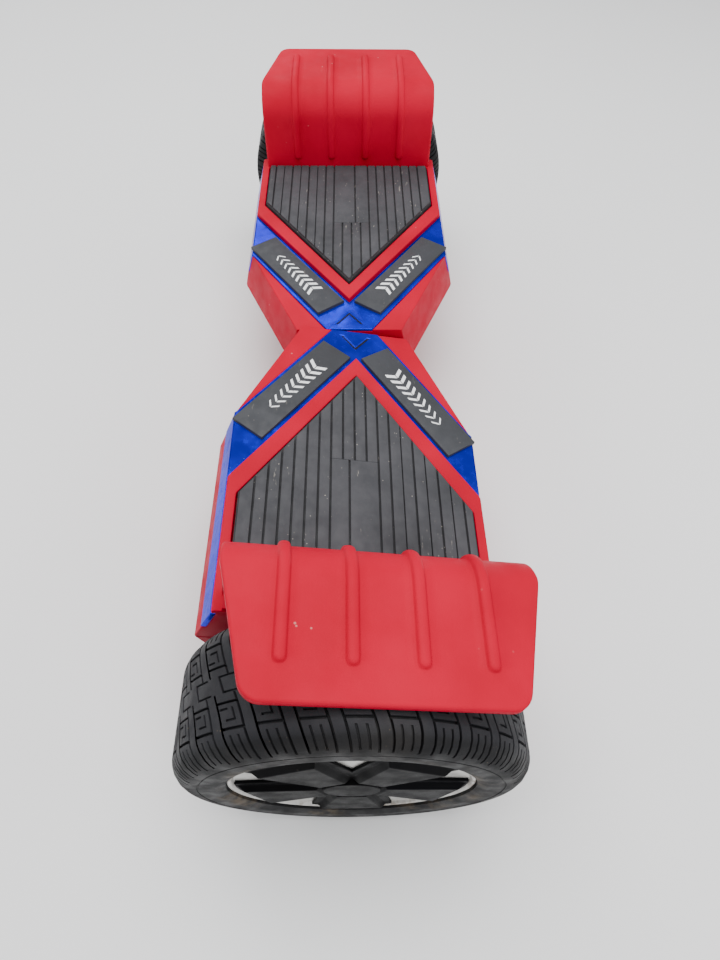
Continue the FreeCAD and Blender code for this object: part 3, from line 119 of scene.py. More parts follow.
# ------------------------------------------------------------------------------ finishes
class Graph:
    """A material's node tree, with short calls for the nodes that the finishes share."""

    def __init__(self, name: str) -> None:
        """Makes an empty material with a Principled shader.

        Args:
            name: The material's name.
        """
        self.material = bpy.data.materials.new(name)
        self.material.use_nodes = True
        self.tree = self.material.node_tree
        self.shader = self.tree.nodes["Principled BSDF"]
        self.place = self.tree.nodes.new("ShaderNodeTexCoord").outputs["Object"]

    def link(self, source: Socket | float | Sequence[float], target: Socket) -> None:
        """Links a socket, or sets a plain value on the target."""
        if isinstance(source, bpy.types.NodeSocket):
            self.tree.links.new(source, target)
        else:
            target.default_value = source

    def noise(self, scale: float, detail: float = 3.0, rough: float = 0.5,
              stretch: Sequence[float] | None = None) -> Socket:
        """Noise on object coordinates.

        Args:
            scale: Spots per metre.
            detail: Octaves.
            rough: Weight of the finer octaves.
            stretch: Scale along each axis, for brushed or streaky looks.

        Returns:
            The noise's factor.
        """
        node = self.tree.nodes.new("ShaderNodeTexNoise")
        node.inputs["Scale"].default_value = scale
        node.inputs["Detail"].default_value = detail
        node.inputs["Roughness"].default_value = rough
        self.link(self.mapped(stretch) if stretch else self.place, node.inputs["Vector"])
        return node.outputs["Fac"]

    def mapped(self, stretch: Sequence[float]) -> Socket:
        """Object coordinates, stretched."""
        node = self.tree.nodes.new("ShaderNodeMapping")
        node.inputs["Scale"].default_value = stretch
        self.link(self.place, node.inputs["Vector"])
        return node.outputs["Vector"]

    def cells(self, scale: float) -> Socket:
        """Distance to the nearest of scattered points, for specks."""
        node = self.tree.nodes.new("ShaderNodeTexVoronoi")
        node.inputs["Scale"].default_value = scale
        self.link(self.place, node.inputs["Vector"])
        return node.outputs["Distance"]

    def ramp(self, factor: Socket, low: float, high: float, start: float = 0.0, end: float = 1.0) -> Socket:
        """A smooth step of a value.

        Args:
            factor: The value.
            low: Where the step starts.
            high: Where it ends.
            start: The result below the step.
            end: The result above it.

        Returns:
            The stepped value.
        """
        node = self.tree.nodes.new("ShaderNodeMapRange")
        node.interpolation_type = "SMOOTHSTEP"
        for name, value in (("From Min", low), ("From Max", high), ("To Min", start), ("To Max", end)):
            node.inputs[name].default_value = value
        self.link(factor, node.inputs["Value"])
        return node.outputs["Result"]

    def sum(self, kind: str, a: Socket | float, b: Socket | float = 0.0) -> Socket:
        """A Math node of the given operation."""
        node = self.tree.nodes.new("ShaderNodeMath")
        node.operation = kind
        self.link(a, node.inputs[0])
        self.link(b, node.inputs[1])
        return node.outputs[0]

    def mix(self, factor: Socket, a: Socket | Sequence[float], b: Socket | Sequence[float]) -> Socket:
        """A colour between two."""
        node = self.tree.nodes.new("ShaderNodeMix")
        node.data_type = "RGBA"
        self.link(factor, node.inputs["Factor"])
        for source, socket in ((a, node.inputs[6]), (b, node.inputs[7])):
            self.link(source if isinstance(source, bpy.types.NodeSocket) else (*source, 1.0), socket)
        return node.outputs[2]

    def axis(self, name: str) -> Socket:
        """One of the object coordinates."""
        node = self.tree.nodes.new("ShaderNodeSeparateXYZ")
        self.link(self.place, node.inputs[0])
        return node.outputs[name]

    def radius(self) -> Socket:
        """Distance from the wheel axle's line."""
        y, z = self.axis("Y"), self.sum("SUBTRACT", self.axis("Z"), AXLE.z)
        return self.sum("SQRT", self.sum("ADD", self.sum("MULTIPLY", y, y), self.sum("MULTIPLY", z, z)))

    def bump(self, height: Socket, distance: float, strength: float = 1.0,
             under: Socket | None = None) -> Socket:
        """A bump normal, set on the shader as well.

        Args:
            height: The height's factor.
            distance: Height in metres at factor 1.
            strength: How strongly it shows.
            under: The normal that it is added to.

        Returns:
            The normal.
        """
        node = self.tree.nodes.new("ShaderNodeBump")
        node.inputs["Distance"].default_value = distance
        node.inputs["Strength"].default_value = strength
        self.link(height, node.inputs["Height"])
        if under is not None:
            self.link(under, node.inputs["Normal"])
        self.link(node.outputs["Normal"], self.shader.inputs["Normal"])
        return node.outputs["Normal"]

    def finish(self, **values: Socket | float | Sequence[float]) -> bpy.types.Material:
        """Sets or links the shader's inputs, named with underscores for spaces."""
        for name, value in values.items():
            self.link(value, self.shader.inputs[name.replace("_", " ")])
        return self.material


@dataclass(frozen=True)
class MouldedPlastic:
    """Satin moulded plastic with a fine grain, scuffs and pale dust specks."""

    name: str
    colour: tuple[float, float, float]
    shade: tuple[float, float, float]
    dust: tuple[float, float, float] = (0.80, 0.62, 0.52)
    roughness: float = 0.50
    dust_amount: float = 0.55
    grain: float = 0.00012
    specular: float = 0.05
    coat: float = 0.0

    def make(self) -> bpy.types.Material:
        """Builds the material."""
        g = Graph(self.name)
        tone = g.mix(g.ramp(g.noise(14.0, 4.0), 0.3, 0.7), self.shade, self.colour)
        specks = g.ramp(g.cells(130.0), 0.12, 0.05)
        patches = g.ramp(g.noise(22.0, 2.0), 0.56, 0.66)
        dust = g.sum("MULTIPLY", g.sum("MULTIPLY", specks, patches), self.dust_amount)
        scuffs = g.ramp(g.noise(60.0, 6.0, 0.7, (1.0, 0.12, 0.6)), 0.68, 0.76, 0.0, 0.12)
        worn = g.sum("MAXIMUM", dust, scuffs)
        colour = g.mix(g.sum("MULTIPLY", worn, 0.5), tone, self.dust)
        g.bump(g.noise(2600.0, 2.0), self.grain, 0.5)
        rough = g.ramp(g.noise(70.0, 5.0), 0.3, 0.75, self.roughness - 0.07, self.roughness + 0.12)
        return g.finish(Base_Color=colour, Roughness=rough, Specular_IOR_Level=self.specular,
                        Coat_Weight=self.coat, Coat_Roughness=0.25)


@dataclass(frozen=True)
class PlatedTrim:
    """Mirror gloss plated plastic with a wavy skin, fine scratches and pale specks that are painted glints.
    """

    name: str
    colour: tuple[float, float, float]
    deep: tuple[float, float, float]
    # dust: the colour of the pale specks, painted glints of the surroundings reflected in the plating
    dust: tuple[float, float, float] = (0.62, 0.66, 0.78)

    def make(self) -> bpy.types.Material:
        """Builds the material."""
        g = Graph(self.name)
        tone = g.mix(g.ramp(g.noise(30.0, 3.0), 0.35, 0.65), self.deep, self.colour)
        # Painted glints: pale specks of reflected surroundings mixed into the base colour, in patches of
        # noise
        painted_glints = g.ramp(g.cells(420.0), 0.16, 0.06)
        spots = g.sum("MULTIPLY", painted_glints, g.ramp(g.noise(48.0, 3.0), 0.55, 0.68))
        colour = g.mix(g.sum("MULTIPLY", spots, 0.75), tone, self.dust)
        waves = g.bump(g.noise(38.0, 2.0), 0.0016, 0.35)
        g.bump(g.noise(900.0, 3.0), 0.00005, 0.5, waves)
        rough = g.ramp(g.noise(150.0, 5.0), 0.4, 0.8, 0.16, 0.38)
        return g.finish(Base_Color=colour, Metallic=0.7, Roughness=rough, Coat_Weight=0.06,
                        Specular_Tint=(*self.colour, 1.0))


@dataclass(frozen=True)
class DustyRubber:
    """Matt rubber with a pebbled skin, lint and pale grit."""

    name: str
    colour: tuple[float, float, float]
    worn: tuple[float, float, float]
    grit: tuple[float, float, float] = (0.55, 0.50, 0.42)
    roughness: float = 0.72
    grit_amount: float = 0.6

    def make(self) -> bpy.types.Material:
        """Builds the material."""
        g = Graph(self.name)
        tone = g.mix(g.ramp(g.noise(26.0, 5.0, 0.6), 0.3, 0.72), self.colour, self.worn)
        grit = g.sum("MULTIPLY", g.ramp(g.cells(300.0), 0.16, 0.06), g.ramp(g.noise(90.0, 3.0), 0.54, 0.66))
        lint = g.ramp(g.noise(240.0, 4.0, 0.6, (0.25, 1.0, 1.0)), 0.67, 0.75, 0.0, 0.5)
        dirt = g.sum("MULTIPLY", g.sum("MAXIMUM", grit, lint), self.grit_amount)
        g.bump(g.noise(1900.0, 3.0), 0.0002, 0.55)
        rough = g.ramp(g.noise(120.0, 4.0), 0.3, 0.7, self.roughness - 0.1, self.roughness + 0.1)
        return g.finish(Base_Color=g.mix(dirt, tone, self.grit), Roughness=rough, Specular_IOR_Level=0.4)


@dataclass(frozen=True)
class TyreRubber:
    """Black tyre rubber: grooves and sidewalls darker than the block tops as painted shade, brown grit
    specks, brown dirt along the bead.
    """

    name: str
    groove_radius: float
    top_radius: float
    bead_radius: float
    colour: tuple[float, float, float] = (0.006, 0.006, 0.007)
    top: tuple[float, float, float] = (0.017, 0.017, 0.020)
    mud: tuple[float, float, float] = (0.10, 0.075, 0.05)

    def make(self) -> bpy.types.Material:
        """Builds the material."""
        g = Graph(self.name)
        radius = g.radius()
        # Painted shade: below the block tops, in the grooves and down the sidewalls, the rubber takes the
        # darker colour.
        tone = g.mix(g.ramp(radius, self.groove_radius, self.top_radius), self.colour, self.top)
        blotch = g.ramp(g.noise(34.0, 6.0, 0.65), 0.50, 0.68)
        bead = g.sum("MULTIPLY", g.ramp(radius, self.bead_radius + 0.012, self.bead_radius), blotch)
        grit = g.sum("MULTIPLY", g.ramp(g.cells(330.0), 0.17, 0.06), g.ramp(g.noise(55.0, 3.0), 0.56, 0.68))
        mud = g.sum("MAXIMUM", g.sum("MULTIPLY", bead, 0.85), g.sum("MULTIPLY", grit, 0.75))
        film = g.ramp(g.noise(18.0, 6.0, 0.7), 0.45, 0.80, 0.0, 0.08)
        colour = g.mix(g.sum("MAXIMUM", mud, film), tone, self.mud)
        g.bump(g.noise(1500.0, 4.0), 0.0002, 0.6)
        rough = g.ramp(g.noise(80.0, 5.0), 0.3, 0.7, 0.50, 0.78)
        return g.finish(Base_Color=colour, Roughness=rough, Specular_IOR_Level=0.22)


@dataclass(frozen=True)
class Metal:
    """Bare, cast, plated or painted metal with fine grain and, near a wheel's bead, brown dirt."""

    name: str
    colour: tuple[float, float, float]
    roughness: float = 0.35
    metallic: float = 1.0
    grain: float = 700.0
    stretch: tuple[float, float, float] = (1.0, 1.0, 1.0)
    dirt_radius: float = 0.0
    dirt: tuple[float, float, float] = (0.20, 0.14, 0.09)

    def make(self) -> bpy.types.Material:
        """Builds the material."""
        g = Graph(self.name)
        low = tuple(c * 0.72 for c in self.colour)
        tone: Socket = g.mix(g.ramp(g.noise(60.0, 5.0, 0.6), 0.3, 0.7), low, self.colour)
        if self.dirt_radius:
            ring = g.ramp(g.radius(), self.dirt_radius - 0.006, self.dirt_radius)
            crust = g.sum("MULTIPLY", ring, g.ramp(g.noise(40.0, 6.0, 0.7), 0.50, 0.60))
            tone = g.mix(g.sum("MULTIPLY", crust, 0.85), tone, self.dirt)
        g.bump(g.noise(self.grain, 3.0, 0.5, self.stretch), 0.00006, 0.5)
        rough = g.ramp(g.noise(110.0, 5.0), 0.3, 0.75, self.roughness - 0.08, self.roughness + 0.14)
        return g.finish(Base_Color=tone, Metallic=self.metallic, Roughness=rough)


@dataclass(frozen=True)
class PrintedInk:
    """White printing ink, rubbed through in places."""

    name: str
    colour: tuple[float, float, float] = (0.86, 0.87, 0.88)
    under: tuple[float, float, float] = (0.10, 0.10, 0.11)

    def make(self) -> bpy.types.Material:
        """Builds the material."""
        g = Graph(self.name)
        rubbed = g.ramp(g.noise(420.0, 5.0, 0.7), 0.62, 0.70)
        g.bump(g.noise(1500.0, 2.0), 0.00008, 0.4)
        rough = g.ramp(g.noise(200.0, 3.0), 0.3, 0.7, 0.45, 0.65)
        return g.finish(Base_Color=g.mix(rubbed, self.colour, self.under), Roughness=rough)


@dataclass(frozen=True)
class StudioFloor:
    """A plain pale floor with a breath of unevenness."""

    name: str
    colour: tuple[float, float, float] = (0.86, 0.86, 0.86)

    def make(self) -> bpy.types.Material:
        """Builds the material."""
        g = Graph(self.name)
        low = tuple(c * 0.985 for c in self.colour)
        return g.finish(Base_Color=g.mix(g.noise(3.0), low, self.colour), Roughness=0.7)


class Finishes:
    """Every finish on the board, made once."""

    def __init__(self) -> None:
        """Builds the materials."""
        tyre_top = JOINTS["left_wheel_spin"]["pos_m"][2]
        self.red = MouldedPlastic("red shell plastic", (0.50, 0.001, 0.026), (0.41, 0.0008, 0.019)).make()
        self.blue = PlatedTrim("blue plated trim", (0.010, 0.024, 0.72), (0.005, 0.012, 0.42)).make()
        self.pad = DustyRubber("foot pad rubber", (0.030, 0.031, 0.035), (0.052, 0.052, 0.058)).make()
        # The groove rubber is darker than the pad's own: painted shade in the grooves between the planks.
        self.pad_groove_shade = DustyRubber("foot pad groove shade", (0.010, 0.010, 0.012), (0.018, 0.018, 0.02)).make()
        self.grip = DustyRubber("grip strip rubber", (0.026, 0.028, 0.032), (0.034, 0.036, 0.042),
                                roughness=0.6, grit_amount=0.25).make()
        self.ink = PrintedInk("grip strip print").make()
        self.tyre = TyreRubber("tyre rubber", tyre_top - 0.0034, tyre_top, 0.075).make()
        self.rim = Metal("silver rim paint", (0.66, 0.65, 0.62), 0.38, 0.55, dirt_radius=0.073).make()
        self.hub = MouldedPlastic("hub cap black", (0.003, 0.003, 0.004), (0.002, 0.002, 0.002),
                                  (0.12, 0.10, 0.085), 0.42, 0.3, specular=0.03).make()
        self.motor = Metal("motor side paint", (0.03, 0.03, 0.033), 0.42, 0.2).make()
        self.cast = Metal("cast alloy", (0.55, 0.56, 0.58), 0.48, 1.0, 380.0).make()
        self.steel = Metal("turned steel", (0.62, 0.62, 0.63), 0.26, 1.0, 900.0, (0.06, 1.0, 1.0)).make()
        self.zinc = Metal("zinc plate", (0.70, 0.69, 0.62), 0.34, 1.0).make()
        self.black_oxide = Metal("black oxide screws", (0.035, 0.035, 0.037), 0.42, 0.8).make()
        self.laminations = Metal("stator laminations", (0.30, 0.30, 0.32), 0.5, 1.0, 1400.0,
                                 (4.0, 0.2, 0.2)).make()
        self.copper = Metal("enamelled copper", (0.62, 0.26, 0.11), 0.25, 1.0, 1200.0).make()
        self.nickel = Metal("nickel magnets", (0.66, 0.65, 0.60), 0.22, 1.0).make()
        self.bronze = Metal("sintered bronze", (0.50, 0.32, 0.13), 0.5, 1.0, 1200.0).make()
        self.sleeve = MouldedPlastic("battery sleeve", (0.03, 0.13, 0.45), (0.02, 0.09, 0.34),
                                     roughness=0.25).make()
        self.board = MouldedPlastic("circuit board", (0.015, 0.15, 0.05), (0.01, 0.10, 0.035),
                                    roughness=0.3).make()
        self.cable = DustyRubber("cable sheath", (0.02, 0.02, 0.02), (0.035, 0.035, 0.035)).make()
        self.black = MouldedPlastic("black plastic", (0.02, 0.02, 0.022), (0.013, 0.013, 0.014),
                                    (0.25, 0.24, 0.22), 0.42).make()
        self.floor = StudioFloor("studio floor").make()

    def by_slot(self) -> dict[str, bpy.types.Material]:
        """The finish of each of the record's material slots."""
        return {
            "red_shell": self.red, "blue_trim": self.blue, "pad_rubber": self.pad,
            "grip_rubber": self.grip, "tyre_rubber": self.tyre, "rim_silver": self.rim,
            "hub_black": self.hub, "motor_black": self.motor, "cast_alloy": self.cast,
            "turned_steel": self.steel, "zinc_steel": self.zinc, "black_screws": self.black_oxide,
            "lamination_steel": self.laminations, "copper_wire": self.copper,
            "magnet_nickel": self.nickel, "bush_bronze": self.bronze, "sleeve_blue": self.sleeve,
            "circuit_board": self.board, "cable_black": self.cable, "black_plastic": self.black,
            "cap_rubber": self.cable, "button_steel": self.steel,
        }


# ------------------------------------------------------------------------------ mesh work
def link_piece(name: str, mesh: bpy.types.Mesh, *materials: bpy.types.Material) -> bpy.types.Object:
    """Puts a mesh in the scene as a piece.

    Args:
        name: The piece's name.
        mesh: Its mesh, already in the row's frame.
        materials: Its materials, in slot order.

    Returns:
        The object.
    """
    mesh.materials.clear()
    for material in materials:
        mesh.materials.append(material)
    piece = bpy.data.objects.new(name, mesh)
    bpy.context.scene.collection.objects.link(piece)
    return piece


def soften(mesh: bpy.types.Mesh, sharp_degrees: float = 40.0) -> None:
    """Smooth shading, with edges over the angle kept sharp."""
    mesh.polygons.foreach_set("use_smooth", [True] * len(mesh.polygons))
    mesh.set_sharp_from_angle(angle=math.radians(sharp_degrees))
    mesh.update()


def grid_faces(rows: int, columns: int) -> list[tuple[int, int, int, int]]:
    """Quads of a grid of vertices numbered row by row.

    Args:
        rows: Vertices along the first direction.
        columns: Vertices along the second.

    Returns:
        The faces' vertex numbers.
    """
    return [(r * columns + c, r * columns + c + 1, (r + 1) * columns + c + 1, (r + 1) * columns + c)
            for r in range(rows - 1) for c in range(columns - 1)]


WELD = 2e-6
FLAT_JOIN = math.radians(1.0)
SHARP_EDGE = math.radians(25.0)
ACROSS_AXLE = 0.9
SOFT_DEGREES = 35.0
EASING = 0.3
LEAST_MITRE = 0.2


def softened_copy(node: str, width: float, flat: bool = False) -> bpy.types.Mesh:
    """A copy of a CAD node's mesh with its triangles merged to faces and its edges rounded.

    Args:
        node: The CAD node.
        width: How wide the rounded edges are.
        flat: Whether the walls across the axle keep their triangles, because they have holes.

    Returns:
        The new mesh.
    """
    bm = bmesh.new()
    bm.from_mesh(NODES[node].data)
    bmesh.ops.remove_doubles(bm, verts=bm.verts, dist=WELD)
    bm.normal_update()
    joined = [e for e in bm.edges if not flat or all(abs(f.normal.x) < ACROSS_AXLE for f in e.link_faces)]
    bmesh.ops.dissolve_limit(bm, angle_limit=FLAT_JOIN, verts=[], edges=joined)
    sharp = [e for e in bm.edges if len(e.link_faces) == 2 and e.calc_face_angle() > SHARP_EDGE]
    bmesh.ops.bevel(bm, geom=sharp, offset=width, offset_type="OFFSET", segments=2, profile=0.5,
                    affect="EDGES", clamp_overlap=False)
    bmesh.ops.triangulate(bm, faces=[f for f in bm.faces if len(f.verts) > 4])
    mesh = bpy.data.meshes.new(node + "_softened")
    bm.to_mesh(mesh)
    bm.free()
    soften(mesh, SOFT_DEGREES)
    return mesh


@dataclass
class Shape:
    """Vertices and faces gathered in a half's own axes, in metres."""

    points: list[tuple[float, float, float]] = field(default_factory=list)
    faces: list[tuple[int, ...]] = field(default_factory=list)
    paints: list[int] = field(default_factory=list)

    def add(self, points: Iterable[Sequence[float]], faces: Iterable[Sequence[int]], paint: int = 0) -> None:
        """Adds vertices and the faces among them.

        Args:
            points: The new vertices.
            faces: Faces numbered from the first new vertex.
            paint: The faces' material slot.
        """
        start = len(self.points)
        self.points.extend(tuple(p) for p in points)
        for face in faces:
            self.faces.append(tuple(start + i for i in face))
            self.paints.append(paint)

    def prism(self, outline: Outline, low: float, high: float, edge: float, paint: int = 0) -> None:
        """Adds a closed flat body with a convex outline and a rounded top edge.

        Args:
            outline: Corners in plan, anticlockwise.
            low: Height of the underside.
            high: Height of the top.
            edge: Radius of the top edge.
            paint: Material slot.
        """
        eased = EASING * edge
        rings = [(low, 0.0), (high - edge, 0.0), (high - eased, eased), (high, edge)]
        count = len(outline)
        points = [(x, y, z) for z, inset in rings for x, y in inset_outline(outline, inset)]
        faces = [(low_ring + i, low_ring + (i + 1) % count, low_ring + count + (i + 1) % count,
                  low_ring + count + i)
                 for low_ring in range(0, (len(rings) - 1) * count, count) for i in range(count)]
        faces.append(tuple(reversed(range(count))))
        faces.append(tuple(range((len(rings) - 1) * count, len(rings) * count)))
        self.add(points, faces, paint)

    def piece(self, name: str, side: Side, *materials: bpy.types.Material, sharp: float = 40.0
              ) -> bpy.types.Object:
        """The finished piece, carried into the row's frame.

        Args:
            name: The piece's name.
            side: The half whose axes the shape is in.
            materials: Its materials.
            sharp: Edges over this angle in degrees stay sharp.

        Returns:
            The object.
        """
        mesh = bpy.data.meshes.new(name)
        mesh.from_pydata(self.points, [], self.faces)
        mesh.polygons.foreach_set("material_index", self.paints)
        mesh.transform(side.matrix())
        soften(mesh, sharp)
        paints = list(self.paints)
        piece = link_piece(name, mesh, *materials)
        mesh.polygons.foreach_set("material_index", paints)
        return piece


def inset_outline(outline: Outline, inset: float) -> list[tuple[float, float]]:
    """A convex outline with each side moved inwards.

    Args:
        outline: Corners, anticlockwise.
        inset: How far each side moves.

    Returns:
        The new corners.
    """
    corners = [Vector(p) for p in outline]
    result = []
    for i, corner in enumerate(corners):
        before = (corner - corners[i - 1]).normalized()
        after = (corners[(i + 1) % len(corners)] - corner).normalized()
        n1, n2 = Vector((-before.y, before.x)), Vector((-after.y, after.x))
        reach = inset / max(1.0 + n1.dot(n2), LEAST_MITRE)
        result.append(tuple(corner + (n1 + n2) * reach))
    return result


def clip_outline(outline: Outline, y_low: float, y_high: float, x_low: float, x_high: float
                 ) -> list[tuple[float, float]]:
    """The part of a convex outline within a rectangle.

    Args:
        outline: Corners, anticlockwise.
        y_low: Lowest y kept.
        y_high: Highest y kept.
        x_low: Lowest x kept.
        x_high: Highest x kept.

    Returns:
        The corners of what is left, which may be none.
    """
    kept = [Vector(p) for p in outline]
    for axis, limit, sign in ((0, x_low, 1), (0, x_high, -1), (1, y_low, 1), (1, y_high, -1)):
        cut: list[Vector] = []
        for i, here in enumerate(kept):
            there = kept[(i + 1) % len(kept)]
            a, b = sign * (here[axis] - limit), sign * (there[axis] - limit)
            if a >= 0:
                cut.append(here)
            if (a > 0 > b) or (a < 0 < b):
                cut.append(here.lerp(there, a / (a - b)))
        kept = cut
        if not kept:
            return []
    tidy = [p for i, p in enumerate(kept) if (p - kept[i - 1]).length > 1e-6]
    return [tuple(p) for p in tidy]


# ------------------------------------------------------------------------------ geometry nodes
class NodeTree:
    """A Geometry Nodes tree made in the script and turned into a plain mesh."""

    def __init__(self, name: str) -> None:
        """Makes an empty tree.

        Args:
            name: The tree's name.
        """
        self.tree = bpy.data.node_groups.new(name, "GeometryNodeTree")
        self.tree.interface.new_socket("Geometry", in_out="INPUT", socket_type="NodeSocketGeometry")
        self.tree.interface.new_socket("Geometry", in_out="OUTPUT", socket_type="NodeSocketGeometry")
        self.values: dict[str, object] = {}
        self.ids: dict[str, str] = {}
        self.entry = self.tree.nodes.new("NodeGroupInput")
        self.exit = self.tree.nodes.new("NodeGroupOutput")

    def input(self, name: str, kind: str, value: object) -> Socket:
        """Adds a named input.

        Args:
            name: The input's name.
            kind: Its socket type, without the NodeSocket prefix.
            value: What it is set to.

        Returns:
            The socket inside the tree.
        """
        made = self.tree.interface.new_socket(name, in_out="INPUT", socket_type="NodeSocket" + kind)
        self.ids[name] = made.identifier
        self.values[name] = value
        return self.entry.outputs[name]

    def node(self, kind: str, settings: dict[str, object] | None = None, **inputs: Socket | object
             ) -> bpy.types.Node:
        """Adds a node.

        Args:
            kind: The node's type, without the GeometryNode prefix, or whole.
            settings: Its properties.
            inputs: Values or links for its inputs, with underscores for spaces.

        Returns:
            The node.
        """
        whole = kind if kind.startswith(("Function", "Shader")) else "GeometryNode" + kind
        made = self.tree.nodes.new(whole)
        for name, value in (settings or {}).items():
            setattr(made, name, value)
        for name, value in inputs.items():
            socket = made.inputs[int(name[1:])] if name[1:].isdigit() else made.inputs[name.replace("_", " ")]
            if isinstance(value, bpy.types.NodeSocket):
                self.tree.links.new(value, socket)
            else:
                socket.default_value = value
        return made

    def maths(self, operation: str, a: Socket | float, b: Socket | float = 0.0) -> Socket:
        """A Math node's result."""
        return self.node("ShaderNodeMath", {"operation": operation}, i0=a, i1=b).outputs[0]

    def bake(self, base: bpy.types.Mesh, result: Socket, material: bpy.types.Material) -> bpy.types.Mesh:
        """Realizes the instances, sets the material and evaluates the tree on a mesh.

        Args:
            base: The mesh the tree works on.
            result: The geometry to keep.
            material: The finish.

        Returns:
            The plain mesh.
        """
        finish = self.input("Finish", "Material", material)
        solid = self.node("RealizeInstances", Geometry=result)
        dressed = self.node("SetMaterial", Geometry=solid.outputs[0], Material=finish)
        self.tree.links.new(dressed.outputs[0], self.exit.inputs[0])
        holder = bpy.data.objects.new(self.tree.name, base)
        bpy.context.scene.collection.objects.link(holder)
        modifier = holder.modifiers.new("build", "NODES")
        modifier.node_group = self.tree
        for name, value in self.values.items():
            modifier[self.ids[name]] = value
        shown = holder.evaluated_get(bpy.context.evaluated_depsgraph_get())
        mesh = bpy.data.meshes.new_from_object(shown)
        bpy.data.objects.remove(holder)
        return mesh


def around_axle(name: str, base: bpy.types.Mesh, count: int, start: float, merge: float,
                material: bpy.types.Material) -> bpy.types.Mesh:
    """Repeats a mesh about the local X axis and joins the copies.

    Args:
        name: The tree's name.
        base: The mesh that repeats.
        count: How many copies a full turn has.
        start: Angle of the first, in radians.
        merge: Distance within which vertices are joined.
        material: The finish.

    Returns:
        The whole ring.
    """
    tree = NodeTree(name)
    copies = tree.input("Copies", "Int", count)
    first = tree.input("First Angle", "Float", start)
    weld = tree.input("Weld Distance", "Float", merge)
    spots = tree.node("MeshLine", Count=copies, Offset=(0.0, 0.0, 0.0))
    index = tree.node("InputIndex").outputs[0]
    step = tree.maths("DIVIDE", math.tau, copies)
    angle = tree.maths("ADD", tree.maths("MULTIPLY", index, step), first)
    turn = tree.node("ShaderNodeCombineXYZ", X=angle)
    rotation = tree.node("FunctionNodeEulerToRotation", Euler=turn.outputs[0])
    placed = tree.node("InstanceOnPoints", Points=spots.outputs[0], Instance=tree.entry.outputs[0],
                       Rotation=rotation.outputs[0])
    whole = tree.node("RealizeInstances", Geometry=placed.outputs[0])
    joined = tree.node("MergeByDistance", Geometry=whole.outputs[0], Distance=weld)
    return tree.bake(base, joined.outputs[0], material)


